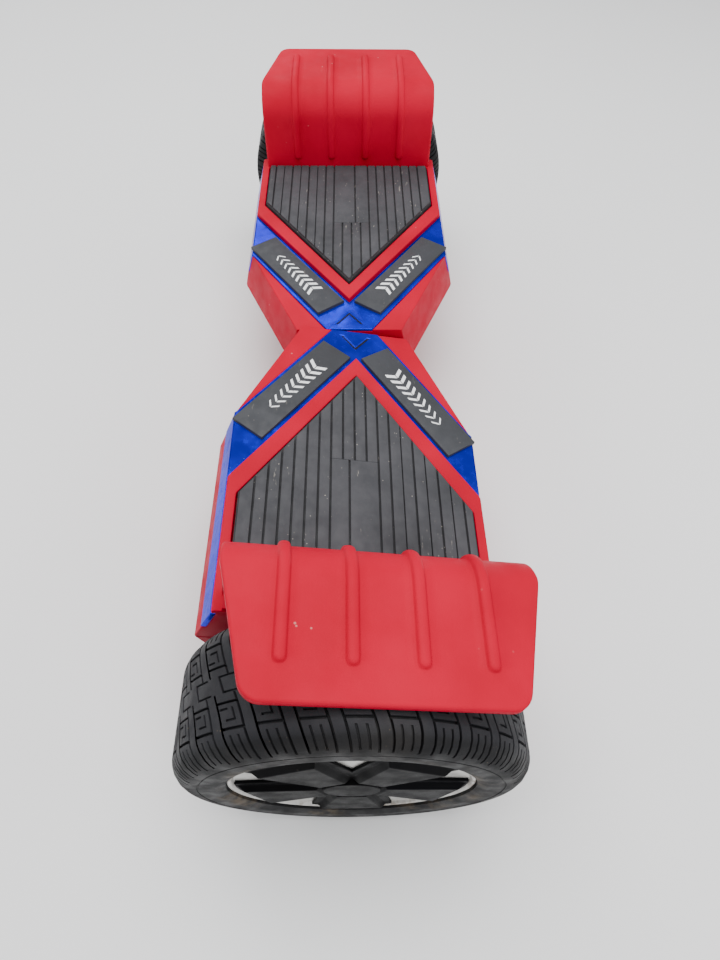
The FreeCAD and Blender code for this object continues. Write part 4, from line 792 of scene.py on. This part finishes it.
# ------------------------------------------------------------------------------ tyres
@dataclass
class Tyre:
    """A wide solid tyre: diagonal ribs, stepped blocks and a grooved shoulder, one pitch repeated."""

    inner_x: float = 285.5
    width: float = 76.0
    radius: float = 105.0
    shoulder: float = 15.0
    bead_radius: float = 73.4
    seat_radius: float = 64.05
    pitches: int = 30
    groove: float = 2.8
    sipe: float = 1.3
    wall: float = 0.25
    sweep: float = 15.0
    rib_width: float = 6.0
    rib_groove: float = 1.3
    tread_end: float = 42.5
    rim_x: float = 353.0
    wall_foot: float = 5.7
    outer_foot: float = 2.0
    seat_in: float = 7.0
    bead_in: float = 4.0
    bead_rise: float = 2.0
    wall_in: float = 0.4
    wall_rise: float = 2.6
    row_gap: float = 4.0
    column_gap: float = 3.6
    least_gap: float = 0.02
    fade_from: float = 3.0
    fade_over: float = 6.0
    shallow: float = 0.6
    weld: float = 2e-6

    def across(self, s: float) -> tuple[float, float, float, float]:
        """A point of the outer profile and its outward normal.

        Args:
            s: Length along the profile from the middle of the tread, negative on the inner side.

        Returns:
            x from the middle, radius, and the normal's x and radial parts.
        """
        flat = self.width / 2 - self.shoulder
        u, sign = abs(s), math.copysign(1.0, s)
        if u <= flat:
            return s, self.radius, 0.0, 1.0
        angle = min((u - flat) / self.shoulder, math.pi / 2)
        x = flat + self.shoulder * math.sin(angle)
        down = self.shoulder * (1 - math.cos(angle))
        r = self.radius - down - max(u - flat - self.shoulder * math.pi / 2, 0.0)
        return sign * x, r, sign * math.sin(angle), math.cos(angle)

    def shear(self, s: float) -> float:
        """How far the ribs have run round the tyre at a place across it."""
        u = min(abs(s), self.tread_end)
        return -math.copysign(self.sweep * math.sin(u / self.tread_end * math.pi / 2), s)

    def cuts(self, pitch: float) -> list[tuple[float, float, float, float, float]]:
        """Grooves of one pitch on one side as (s from, s to, t from, t to, depth)."""
        rib, cut, end = self.rib_width, self.rib_groove, self.tread_end
        return [
            (5.0, end, rib, rib + cut, self.groove), (5.0, end, pitch - cut, pitch, self.groove),
            (9.5, 10.7, rib + cut, pitch - cut, self.groove), (23.0, 24.4, rib + cut, pitch - cut, 2.2),
            (13.0, 20.0, 10.6, 11.7, self.sipe), (18.9, 20.0, 11.7, 17.4, self.sipe),
            (13.0, 14.1, 14.4, 20.2, self.sipe), (27.0, 40.5, 11.0, 12.1, self.sipe),
            (27.0, 40.5, 16.2, 17.3, self.sipe), (0.0, 5.0, 13.2, 14.6, self.groove),
            (4.0, 5.0, 2.0, 13.2, self.sipe), (47.0, 48.0, 0.0, pitch, 0.5),
        ]

    def depth(self, s: float, t: float, cuts: list[tuple[float, float, float, float, float]]) -> float:
        """How deep the tread is cut at a place.

        Args:
            s: Length across the tread.
            t: Length round it, from the rib's edge.
            cuts: The grooves of a pitch.

        Returns:
            The depth.
        """
        u, deepest = abs(s), 0.0
        for s0, s1, t0, t1, deep in cuts:
            if s0 <= u <= s1 and t0 <= t <= t1:
                deepest = max(deepest, deep)
        fade = min(max((self.tread_end + self.fade_from - u) / self.fade_over, 0.0), 1.0)
        return deepest * (fade if deepest > self.shallow else 1.0)

    def steps(self, marks: Iterable[float], low: float, high: float, widest: float) -> list[float]:
        """Grid lines on both sides of every groove's edge, and between them where they are far apart."""
        lines = {low, high}
        for mark in marks:
            lines.update(v for v in (mark - self.wall / 2, mark + self.wall / 2) if low < v < high)
        rough = sorted(lines)
        made = [rough[0]]
        for value in rough[1:]:
            gaps = max(1, math.ceil((value - made[-1]) / widest))
            made.extend(made[-1] + (value - made[-1]) * k / gaps for k in range(1, gaps))
            made.append(value)
        return [v for i, v in enumerate(made) if i == 0 or v - made[i - 1] > self.least_gap]

    def module(self) -> bpy.types.Mesh:
        """One pitch of the tyre: the treaded outside and the smooth inside, a closed section."""
        pitch = math.tau * self.radius / self.pitches
        cuts = self.cuts(pitch)
        top = self.width / 2 - self.shoulder + self.shoulder * math.pi / 2
        bead = top + self.radius - self.shoulder - (self.bead_radius + self.wall_foot)
        half = self.steps([v for c in cuts for v in c[:2] if v > 0], 0.0, bead, self.row_gap)
        rows = [-v for v in reversed(half)] + half[1:]
        columns = self.steps([v for c in cuts for v in c[2:4]], 0.0, pitch, self.column_gap)
        middle = self.inner_x + self.width / 2
        points = []
        for s in rows:
            x, r, nx, nr = self.across(s)
            for t in columns:
                edge = min(max(t, self.wall), pitch - self.wall)
                cut = self.depth(s, edge, cuts)
                angle = (t + self.shear(s)) / self.radius
                out = r - cut * nr
                points.append((middle + x - cut * nx, out * math.cos(angle), out * math.sin(angle)))
        inner = middle - self.width / 2
        lining = [(inner + self.width - self.outer_foot, self.bead_radius), (self.rim_x, self.bead_radius),
                  (self.rim_x, self.seat_radius), (inner + self.seat_in, self.seat_radius),
                  (inner + self.bead_in, self.seat_radius + self.bead_rise),
                  (inner + self.wall_in, self.bead_radius + self.wall_rise)]
        for k, (x, r) in enumerate(lining):
            skew = self.shear(self.width) * (1 - 2 * (k + 1) / (len(lining) + 1))
            for t in columns:
                angle = (t + skew) / self.radius
                points.append((x, r * math.cos(angle), r * math.sin(angle)))
        count, total = len(columns), len(rows) + len(lining)
        faces = [((i % total) * count + j, ((i + 1) % total) * count + j, ((i + 1) % total) * count + j + 1,
                  (i % total) * count + j + 1) for i in range(total) for j in range(count - 1)]
        mesh = bpy.data.meshes.new("tyre_pitch")
        mesh.from_pydata([(x * MM, y * MM, z * MM) for x, y, z in points], [], faces)
        return mesh

    def build(self, side: Side, finishes: Finishes) -> bpy.types.Object:
        """The whole tyre, riding on its wheel."""
        mesh = around_axle(side.node("tread"), self.module(), self.pitches, 0.0, self.weld, finishes.tyre)
        outwards(mesh)
        mesh.transform(side.matrix())
        soften(mesh, 30.0)
        piece = link_piece(side.node("treaded_tyre"), mesh, finishes.tyre)
        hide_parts(side.node("tyre"))
        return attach(piece, side.node("wheel"))


def outwards(mesh: bpy.types.Mesh) -> None:
    """Turns every face of a closed mesh outwards."""
    bm = bmesh.new()
    bm.from_mesh(mesh)
    bmesh.ops.recalc_face_normals(bm, faces=bm.faces)
    bm.to_mesh(mesh)
    bm.free()


# ------------------------------------------------------------------------------ mudguards
@dataclass
class Mudguard:
    """A bent mudguard with rolled edges and four rounded ribs, worked out flat and bent to shape."""

    wall_x: float = 252.0
    low_z: float = 34.5
    top_z: float = 113.0
    bend: float = 28.0
    out_x: float = 345.0
    thick: float = 3.5
    half: float = 86.5
    taper_x: float = 272.0
    out_half: float = 70.0
    corner: float = 9.0
    edge_radius: float = 1.8
    lip: float = 5.4
    roll: float = 3.0
    rib_pitch: float = 35.5
    rib_low_z: float = 44.0
    rib_out_x: float = 326.0
    rib_radius: float = 3.0
    rib_base: float = 4.0
    rib_soft: float = 1.2
    foot: float = 12.0
    foot_weld: float = 0.6
    foot_short: float = 1.0
    foot_edge: float = 0.7
    row_gap: float = 7.0
    least_gap: float = 0.15
    bend_rows: int = 14
    core_edge: float = 9.5
    lip_from: float = 6.0
    reach: float = 10.0
    probe: float = 0.05
    rib_steps: tuple[float, ...] = (0.0, 1.0, 2.0, 2.7, 3.2, 3.6, 4.0)
    between_ribs: tuple[float, ...] = (8.9, 26.6, 44.4)
    end_steps: tuple[float, ...] = (0, 0.25, 0.7, 1.3, 2.1, 3.2, 4.6, 6.5, 9.0, 13.0)
    side_steps: tuple[float, ...] = (0.0, 0.25, 0.7, 1.3, 2.1, 3.2, 5.0, 7.5)
    lip_steps: tuple[float, ...] = (0.25, 0.9, 2.1, 2.75)
    lip_ease: float = 0.3
    lip_round: float = 0.9

    def __post_init__(self) -> None:
        """Works out the lengths along the bent plate."""
        self.rise = self.top_z - self.bend - self.low_z
        self.arc = self.bend * math.pi / 2
        self.length = self.rise + self.arc + self.out_x - self.wall_x - self.bend
        self.ribs = [k * self.rib_pitch for k in (-1.5, -0.5, 0.5, 1.5)]
        self.rib_from = self.rib_low_z - self.low_z + self.rib_radius
        self.rib_to = self.rise + self.arc + self.rib_out_x - self.wall_x - self.bend - self.rib_radius

    def bent(self, p: float, y: float, n: float) -> tuple[float, float, float]:
        """A place on the plate in the half's axes.

        Args:
            p: Length up the wall, round the bend and out.
            y: Across.
            n: Height off the outer surface.

        Returns:
            The point.
        """
        if p <= self.rise:
            return self.wall_x - n, y, self.low_z + p
        if p >= self.rise + self.arc:
            return self.wall_x + self.bend + p - self.rise - self.arc, y, self.top_z + n
        angle = (p - self.rise) / self.bend
        reach = self.bend + n
        return (self.wall_x + self.bend - reach * math.cos(angle), y,
                self.top_z - self.bend + reach * math.sin(angle))

    def side(self, p: float) -> float:
        """Half the width at a length along the plate, before the corners are rounded."""
        x = self.bent(p, 0.0, 0.0)[0]
        if x <= self.taper_x:
            return self.half
        return self.half - (self.half - self.out_half) * (x - self.taper_x) / (self.out_x - self.taper_x)

    def width(self, p: float) -> float:
        """Half the width with the corners rounded."""
        past = p - (self.length - self.corner)
        loss = self.corner - math.sqrt(max(self.corner ** 2 - max(past, 0.0) ** 2, 0.0))
        return self.side(p) - loss

    def inside(self, p: float, y: float) -> float:
        """Distance to the plate's edge, the foot not counted."""
        c = self.corner
        a, b = self.side(p) - abs(y), self.length - p
        if a < c and b < c:
            return c - math.hypot(c - a, c - b)
        return min(a, b)

    def rib_height(self, p: float, y: float) -> float:
        """How high the ribs stand at a place, with a soft foot."""
        off = min(math.hypot(y - rib, p - min(max(p, self.rib_from), self.rib_to)) for rib in self.ribs)
        if off >= self.rib_base:
            return 0.0
        crown = math.sqrt(max(self.rib_radius ** 2 - (off * self.rib_radius / self.rib_base) ** 2, 0.0))
        soft = min((self.rib_base - off) / self.rib_soft, 1.0)
        return crown * soft * soft * (3 - 2 * soft)

    def lines(self) -> tuple[list[float], list[float]]:
        """Lengths of the rows, and places across of the columns that don't follow the edge."""
        columns = {rib + way * d for rib in self.ribs for d in self.rib_steps for way in (-1, 1)}
        columns |= {0.0} | {way * d for d in self.between_ribs for way in (-1, 1)}
        bend_end = self.rise + self.arc
        rows = set(np.arange(self.rise, bend_end, self.arc / self.bend_rows)) | {0.0, 5.0}
        rows |= {self.rib_from - d for d in self.rib_steps} | {self.rib_to + d for d in self.rib_steps}
        rows |= set(np.arange(self.rib_from, self.rise, self.row_gap))
        rows |= set(np.arange(bend_end, self.rib_to, self.row_gap))
        rows |= {self.length - d for d in self.end_steps}
        ordered = sorted(rows)
        kept = [v for i, v in enumerate(ordered) if i == 0 or v - ordered[i - 1] > self.least_gap]
        return kept, sorted(columns)

    def plate(self) -> Shape:
        """The plate: its outside, its rolled edge and its inside, one closed skin."""
        rows, core = self.lines()
        edge = list(self.side_steps)
        outer, inner, flat = [], [], []
        for p in rows:
            wide = self.width(p)
            scale = min(1.0, (wide - self.core_edge) / core[-1])
            ys = [-(wide - d) for d in edge] + [y * scale for y in core] + [wide - d for d in reversed(edge)]
            for y in ys:
                flat.append((p, y))
        count = len(edge) * 2 + len(core)
        radius = self.edge_radius
        for p, y in flat:
            off = max(self.inside(p, y), 0.0)
            drop = radius - math.sqrt(max(radius ** 2 - max(radius - off, 0.0) ** 2, 0.0))
            outer.append((p, y, self.rib_height(p, y) - drop))
            inner.append(self.drawn_in(p, y, off, self.roll) + (-self.thick,))
        last_row = (len(rows) - 1) * count
        border = list(range(0, last_row + 1, count)) + list(range(last_row + 1, last_row + count))
        border += list(range(last_row - 1, 0, -count)) + list(range(count - 2, 0, -1))
        rounded, eased = self.lip - self.lip_round, self.lip - self.lip_ease
        turn_in, level, level_end, turn_out = self.lip_steps
        rings = [(0.0, rounded), (turn_in, eased), (level, self.lip), (level_end, self.lip),
                 (turn_out, eased), (self.roll, rounded)]
        shape = Shape()
        total = len(flat)
        between = []
        for inset, low in rings:
            for index in border:
                p, y = flat[index]
                off = max(self.inside(p, y), 0.0)
                lipped = max(0.0, 1.0 - off / self.lip_from)
                depth = lipped * low + (1 - lipped) * self.thick * inset / self.roll
                between.append(self.drawn_in(p, y, off, inset) + (-depth,))
        shape.points = [tuple(c * MM for c in self.bent(*q)) for q in outer + between + inner]
        faces = [tuple(reversed(face)) for face in grid_faces(len(rows), count)]
        last = total + len(between)
        faces += [tuple(last + i for i in face) for face in grid_faces(len(rows), count)]
        size = len(border)
        chain = [border] + [[total + k * size + i for i in range(size)] for k in range(len(rings))]
        chain.append([last + i for i in border])
        for upper, lower in zip(chain, chain[1:]):
            faces += [(upper[i], upper[(i + 1) % size], lower[(i + 1) % size], lower[i]) for i in range(size)]
        shape.faces = faces
        shape.paints = [0] * len(faces)
        return shape

    def drawn_in(self, p: float, y: float, off: float, inset: float) -> tuple[float, float]:
        """A place near the edge moved inwards.

        Args:
            p: Length along the plate.
            y: Across.
            off: Its distance to the edge.
            inset: How far a place on the edge moves.

        Returns:
            The new length and place across.
        """
        if off >= self.reach:
            return p, y
        step = self.probe
        dp = (self.inside(p + step, y) - self.inside(p - step, y)) / (2 * step)
        dy = (self.inside(p, y + step) - self.inside(p, y - step)) / (2 * step)
        size = math.hypot(dp, dy) or 1.0
        move = inset * (1 - off / self.reach)
        return min(p + dp / size * move, self.length), y + dy / size * move

    def build(self, side: Side, finishes: Finishes) -> bpy.types.Object:
        """The mudguard with its screwed foot, riding on its half."""
        shape = self.plate()
        wall = self.wall_x + self.thick
        near, far, half = wall - self.foot_weld, wall + self.foot, self.half - self.foot_short
        foot = [(x * MM, y * MM) for x, y in ((near, -half), (far, -half), (far, half), (near, half))]
        shape.prism(foot, self.low_z * MM, (self.low_z + self.thick) * MM, self.foot_edge * MM)
        piece = shape.piece(side.node("mudguard"), side, finishes.red, sharp=60.0)
        outwards(piece.data)
        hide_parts(side.node("fender"))
        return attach(piece, side.node("half"))


# ------------------------------------------------------------------------------ foot pads
@dataclass
class FootPad:
    """A rubber pad of planks cut along the half, with a wider plank let in at the outer part."""

    tip_x: float = 59.0
    corner_x: float = 181.0
    end_x: float = 250.0
    half: float = 83.5
    low_z: float = 29.5
    top_z: float = 38.0
    pitch: float = 8.8
    deep_gap: float = 1.5
    fine_gap: float = 0.8
    groove_depth: float = 1.9
    edge: float = 0.35
    step_x: float = 146.0
    plunger_x: float = 165.0
    plunger_y: float = 45.0
    plunger_radius: float = 4.0
    plunger_len: float = 17.0
    seam: float = 0.05
    side_lines: int = 9
    line_shift: float = 0.7
    middle_from: float = -2.4
    middle_to: float = 1.8
    centre_planks: tuple[tuple[float, float], ...] = ((-2.3, -0.75), (-0.75, 1.7))
    base_edge: float = 0.3
    field_inset: float = 1.2
    weld: float = 0.5
    plunger_edge: float = 0.1
    plunger_sides: int = 24

    def outline(self, inset: float) -> list[tuple[float, float]]:
        """The five sided outline, anticlockwise, moved inwards."""
        corners = [(self.tip_x, 0.0), (self.corner_x, -self.half), (self.end_x, -self.half),
                   (self.end_x, self.half), (self.corner_x, self.half)]
        return inset_outline([(x * MM, y * MM) for x, y in corners], inset * MM)

    def planks(self) -> list[tuple[float, float, float, float]]:
        """Each plank as (y from, y to, x from, x to); the middle ones change at the step."""
        wide, pitch, seam = self.deep_gap / 2, self.pitch, self.seam
        counted = range(-self.side_lines, self.side_lines)
        lines = [-self.half] + [(k + self.line_shift) * pitch for k in counted] + [self.half]
        gaps = [self.fine_gap / 2 if y > 2 * pitch and n % 2 else wide for n, y in enumerate(lines)]
        made = []
        for a, b, near, far in zip(lines, lines[1:], gaps, gaps[1:]):
            middle = a > self.middle_from * pitch and b < self.middle_to * pitch
            made.append((a + near, b - far, 0.0, self.step_x - seam if middle else self.end_x))
        for a, b in self.centre_planks:
            made.append((a * pitch + wide, b * pitch - wide, self.step_x + seam, self.end_x))
        return made

    def build(self, side: Side, finishes: Finishes) -> bpy.types.Object:
        """The pad, riding on its own body."""
        shape = Shape()
        base = self.top_z - self.groove_depth
        # The base shows between the planks in the darker groove rubber: painted shade in the grooves.
        shape.prism(self.outline(0.0), self.low_z * MM, base * MM, self.base_edge * MM, 1)
        field_outline = self.outline(self.field_inset)
        for y0, y1, x0, x1 in self.planks():
            cut = clip_outline(field_outline, y0 * MM, y1 * MM, x0 * MM, x1 * MM)
            if len(cut) > 2:
                shape.prism(cut, (base - self.weld) * MM, self.top_z * MM, self.edge * MM)
        for y in (-self.plunger_y, self.plunger_y):
            angles = np.linspace(0, math.tau, self.plunger_sides, False)
            ring = [((self.plunger_x + self.plunger_radius * math.cos(a)) * MM,
                     (y + self.plunger_radius * math.sin(a)) * MM) for a in angles]
            low = self.low_z - self.plunger_len
            shape.prism(ring, low * MM, (self.low_z + self.weld) * MM, self.plunger_edge * MM, 1)
        piece = shape.piece(side.node("ribbed_pad"), side, finishes.pad, finishes.pad_groove_shade, sharp=35.0)
        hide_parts(side.node("foot_pad"))
        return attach(piece, side.node("pad"))


# ------------------------------------------------------------------------------ grip strips
@dataclass
class GripStrip:
    """A flat rubber strip on one arm of the trim, printed with slanted bars."""

    length: float = 115.0
    width: float = 28.0
    thick: float = 3.0
    low_z: float = 30.6
    from_mid: float = 59.1
    edge: float = 0.5
    print_rise: float = 0.12
    bars: int = 9
    bar_pitch: float = 7.2
    bar_wide: float = 3.4
    bar_half: float = 7.6
    bar_lean: float = 4.5
    bar_gap: float = 0.35
    bar_sink: float = 0.4
    bar_edge: float = 0.03
    shorter: float = 0.05
    thinner: float = 0.06
    tip_x: float = 37.0
    corner_x: float = 167.0
    deck_half: float = 92.0
    half_gap: float = 1.5
    mid_half: float = 20.0

    def frame(self, sign: int) -> Callable[[float, float], tuple[float, float]]:
        """A call that carries (along, across) on the strip to the half's axes.

        Args:
            sign: +1 for the arm on +y, -1 for the other.

        Returns:
            The call.
        """
        run = math.hypot(self.deck_half, self.corner_x - self.tip_x)
        ux, uy = (self.corner_x - self.tip_x) / run, self.deck_half / run
        deep = ((self.tip_x - self.half_gap) * uy + self.mid_half * ux) / 2
        cx = self.tip_x - deep * uy + self.from_mid * ux
        cy = deep * ux + self.from_mid * uy

        def place(along: float, across: float) -> tuple[float, float]:
            """A point on the strip, in metres in the half's axes."""
            return ((cx + along * ux - across * uy) * MM, sign * (cy + along * uy + across * ux) * MM)
        return place

    def build(self, side: Side, kind: str, sign: int, finishes: Finishes) -> bpy.types.Object:
        """The strip with its print, riding on its half.

        Args:
            side: The half.
            kind: The CAD node's name without the side.
            sign: +1 for the arm on +y, -1 for the other.
            finishes: The finishes.

        Returns:
            The piece.
        """
        place = self.frame(sign)
        shape = Shape()
        top = self.low_z + self.thick
        a, b = self.length / 2, self.width / 2
        corners = [place(-a, -b), place(a, -b), place(a, b), place(-a, b)]
        shape.prism(corners[::sign], self.low_z * MM, (top - self.print_rise) * MM, self.edge * MM)
        for low, high in self.print_bars():
            for outline in (low, high):
                points = [place(x, y) for x, y in outline]
                shape.prism(points[::sign], (top - self.bar_sink) * MM, top * MM, self.bar_edge * MM, 1)
        piece = shape.piece(side.node("printed_" + kind), side, finishes.grip, finishes.ink, sharp=35.0)
        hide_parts(side.node(kind))
        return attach(piece, side.node("half"))

    def print_bars(self) -> list[tuple[Outline, Outline]]:
        """The two arms of each printed chevron, along and across the strip."""
        made = []
        start = -(self.bars - 1) / 2 * self.bar_pitch
        for n in range(self.bars):
            x, tall = start + n * self.bar_pitch, self.bar_half * (1.0 - self.shorter * n)
            wide, lean, gap = self.bar_wide * (1.0 - self.thinner * n), self.bar_lean, self.bar_gap
            made.append(([(x, gap), (x + wide, gap), (x + wide - lean, tall), (x - lean, tall)],
                         [(x - lean, -tall), (x + wide - lean, -tall), (x + wide, -gap), (x, -gap)]))
        return made


# ------------------------------------------------------------------------------ shells and trim
@dataclass
class HalfBody:
    """The parts of a half that keep the CAD shape and get softened edges."""

    shell_edge: float = 0.8
    lower_edge: float = 1.2
    trim_edge: float = 0.6
    chevron_end: float = 26.0
    chevron_floor: float = 29.8
    flat_off: float = 0.3

    def build(self, side: Side, finishes: Finishes) -> list[bpy.types.Object]:
        """The upper and lower shell and the trim, riding on their half."""
        plan = (("upper_shell", self.shell_edge, finishes.red, "red_shell", False),
                ("lower_shell", self.lower_edge, finishes.red, "red_shell", True),
                ("trim_band", self.trim_edge, finishes.blue, "blue_trim", False))
        made = [softened_piece(side, kind, width, finish, slot, "half", flat)
                for kind, width, finish, slot, flat in plan]
        # The chevron's groove floor is painted black as shade in the groove.
        self.paint_chevron_shade(made[-1], side, finishes.black)
        return made

    def paint_chevron_shade(self, trim: bpy.types.Object, side: Side, ink: bpy.types.Material) -> None:
        """Paints shade on the floor of the chevron groove with a dark finish.

        Args:
            trim: The trim.
            side: The half.
            ink: The dark finish that stands for the shade in the groove.
        """
        trim.data.materials.append(ink)
        back = side.matrix().inverted()
        for face in trim.data.polygons:
            middle = back @ face.center
            off_floor = abs(middle.z - self.chevron_floor * MM)
            if middle.x < self.chevron_end * MM and off_floor < self.flat_off * MM:
                face.material_index = 1


def softened_piece(side: Side, kind: str, width: float, finish: bpy.types.Material, slot: str, body: str,
                   flat: bool) -> bpy.types.Object:
    """A piece that is the CAD node's own shape with rounded edges.

    Args:
        side: The half.
        kind: The node's name without the side.
        width: Width of the rounded edges in millimetres.
        finish: Its material.
        slot: The record's material slot; not used.
        body: The body it rides on, without the side.
        flat: Whether the walls across the axle keep their triangles.

    Returns:
        The piece.
    """
    node = side.node(kind)
    piece = link_piece(node + "_finished", softened_copy(node, width * MM, flat), finish)
    piece.modifiers.new("shade", "WEIGHTED_NORMAL").weight = 80
    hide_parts(node)
    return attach(piece, side.node(body))


# ------------------------------------------------------------------------------ wheels
@dataclass
class Wheel:
    """A wheel: the treaded tyre, the silver rim and the black hub cap with its silver windows."""

    tyre: Tyre = field(default_factory=Tyre)
    rim_edge: float = 0.6
    cap_edge: float = 0.6
    cover_edge: float = 0.6

    def build(self, side: Side, finishes: Finishes) -> list[bpy.types.Object]:
        """The wheel's outer parts, riding on the wheel."""
        return [
            self.tyre.build(side, finishes),
            softened_piece(side, "wheel_rim", self.rim_edge, finishes.rim, "rim_silver", "wheel", True),
            softened_piece(side, "hub_cap", self.cap_edge, finishes.hub, "hub_black", "wheel", True),
            softened_piece(side, "motor_cover", self.cover_edge, finishes.motor, "motor_black", "wheel",
                           True),
        ]


class CarriedNodes:
    """Every CAD node that keeps its own mesh and takes a finish."""

    def dress(self, finishes: Finishes) -> int:
        """Gives each node the finish of its material slot.

        Args:
            finishes: The finishes.

        Returns:
            How many nodes were dressed.
        """
        by_slot = finishes.by_slot()
        for node in NODES.values():
            for index, material in enumerate(node.data.materials):
                node.data.materials[index] = by_slot[material.name.split(".")[0]]
        return len(NODES)


# ------------------------------------------------------------------------------ studio
@dataclass
class Studio:
    """The pale floor, soft lights and the camera above one end of the board."""

    place: tuple[float, float, float] = (0.4366, -0.0007, 0.5297)
    down: float = 54.78
    swing: float = -1.61
    roll: float = -1.05
    lens: float = 24.88
    floor_half: float = 12.0

    def camera(self) -> None:
        """Makes the camera."""
        down, swing, roll = (math.radians(v) for v in (self.down, self.swing, self.roll))
        level = -math.cos(down)
        ahead = Vector((level * math.cos(swing), level * math.sin(swing), -math.sin(down)))
        right = ahead.cross(Vector((0, 0, 1))).normalized()
        below = ahead.cross(right)
        across = math.cos(roll) * right + math.sin(roll) * below
        under = math.cos(roll) * below - math.sin(roll) * right
        data = bpy.data.cameras.new("camera")
        data.lens = self.lens
        data.clip_start = 0.01
        camera = bpy.data.objects.new("camera", data)
        turn = Matrix((across, -under, -ahead)).transposed().to_4x4()
        camera.matrix_world = Matrix.Translation(self.place) @ turn
        bpy.context.scene.collection.objects.link(camera)
        bpy.context.scene.camera = camera

    def light(self, name: str, place: Sequence[float], aim: Sequence[float], size: tuple[float, float],
              power: float) -> None:
        """Adds a soft rectangular light.

        Args:
            name: Its name.
            place: Where it is.
            aim: What it points at.
            size: Its width and height.
            power: Its power in watts.
        """
        data = bpy.data.lights.new(name, "AREA")
        data.shape = "RECTANGLE"
        data.size, data.size_y = size
        data.energy = power
        lamp = bpy.data.objects.new(name, data)
        facing = (Vector(aim) - Vector(place)).to_track_quat("-Z", "Y")
        lamp.matrix_world = Matrix.Translation(place) @ facing.to_matrix().to_4x4()
        bpy.context.scene.collection.objects.link(lamp)

    def build(self, finishes: Finishes) -> None:
        """Makes the floor, the lights, the surroundings and the camera."""
        half = self.floor_half
        mesh = bpy.data.meshes.new("studio_floor")
        corners = [(-half, -half, 0), (half, -half, 0), (half, half, 0), (-half, half, 0)]
        mesh.from_pydata(corners, [], [(0, 1, 2, 3)])
        link_piece("studio_floor", mesh, finishes.floor)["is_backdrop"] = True
        self.light("overhead", (-0.1, 0.0, 1.9), (-0.05, 0, 0), (1.8, 1.4), 44.0)
        self.light("front", (1.5, 0.5, 1.3), (0.2, 0, 0.1), (1.2, 1.0), 16.0)
        self.light("back", (-1.5, -0.6, 1.2), (-0.2, 0, 0.1), (1.2, 0.8), 10.0)
        self.light("left_strip", (0.0, -1.5, 1.1), (0, 0, 0.1), (2.0, 0.5), 9.0)
        self.light("right_strip", (0.0, 1.5, 1.1), (0, 0, 0.1), (2.0, 0.5), 9.0)
        world = bpy.data.worlds.new("studio")
        world.use_nodes = True
        world.node_tree.nodes["Background"].inputs["Color"].default_value = (0.95, 0.97, 1.0, 1.0)
        world.node_tree.nodes["Background"].inputs["Strength"].default_value = 0.42
        bpy.context.scene.world = world
        self.camera()


def write_sizes() -> None:
    """Works out the CAD box and the finished model's box."""
    boxes = {"cad": CAD_BOX, "visual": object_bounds()}
    plain = {name: [list(map(float, corner)) for corner in box] for name, box in boxes.items()}


def main() -> None:
    """Builds the board and its studio."""
    logging.basicConfig(level=logging.INFO, format="%(name)s: %(message)s")
    finishes = Finishes()
    LOG.info("nodes dressed: %d", CarriedNodes().dress(finishes))
    for side in Side:
        pieces = HalfBody().build(side, finishes) + Wheel().build(side, finishes)
        pieces.append(Mudguard().build(side, finishes))
        pieces.append(FootPad().build(side, finishes))
        for kind, sign in (("front_grip", 1), ("rear_grip", -1)):
            pieces.append(GripStrip().build(side, kind, sign, finishes))
        for piece in pieces:
            LOG.info("%s: %d faces", piece.name, len(piece.data.polygons))
    Studio().build(finishes)
    write_sizes()


if __name__ == "__main__":
    main()
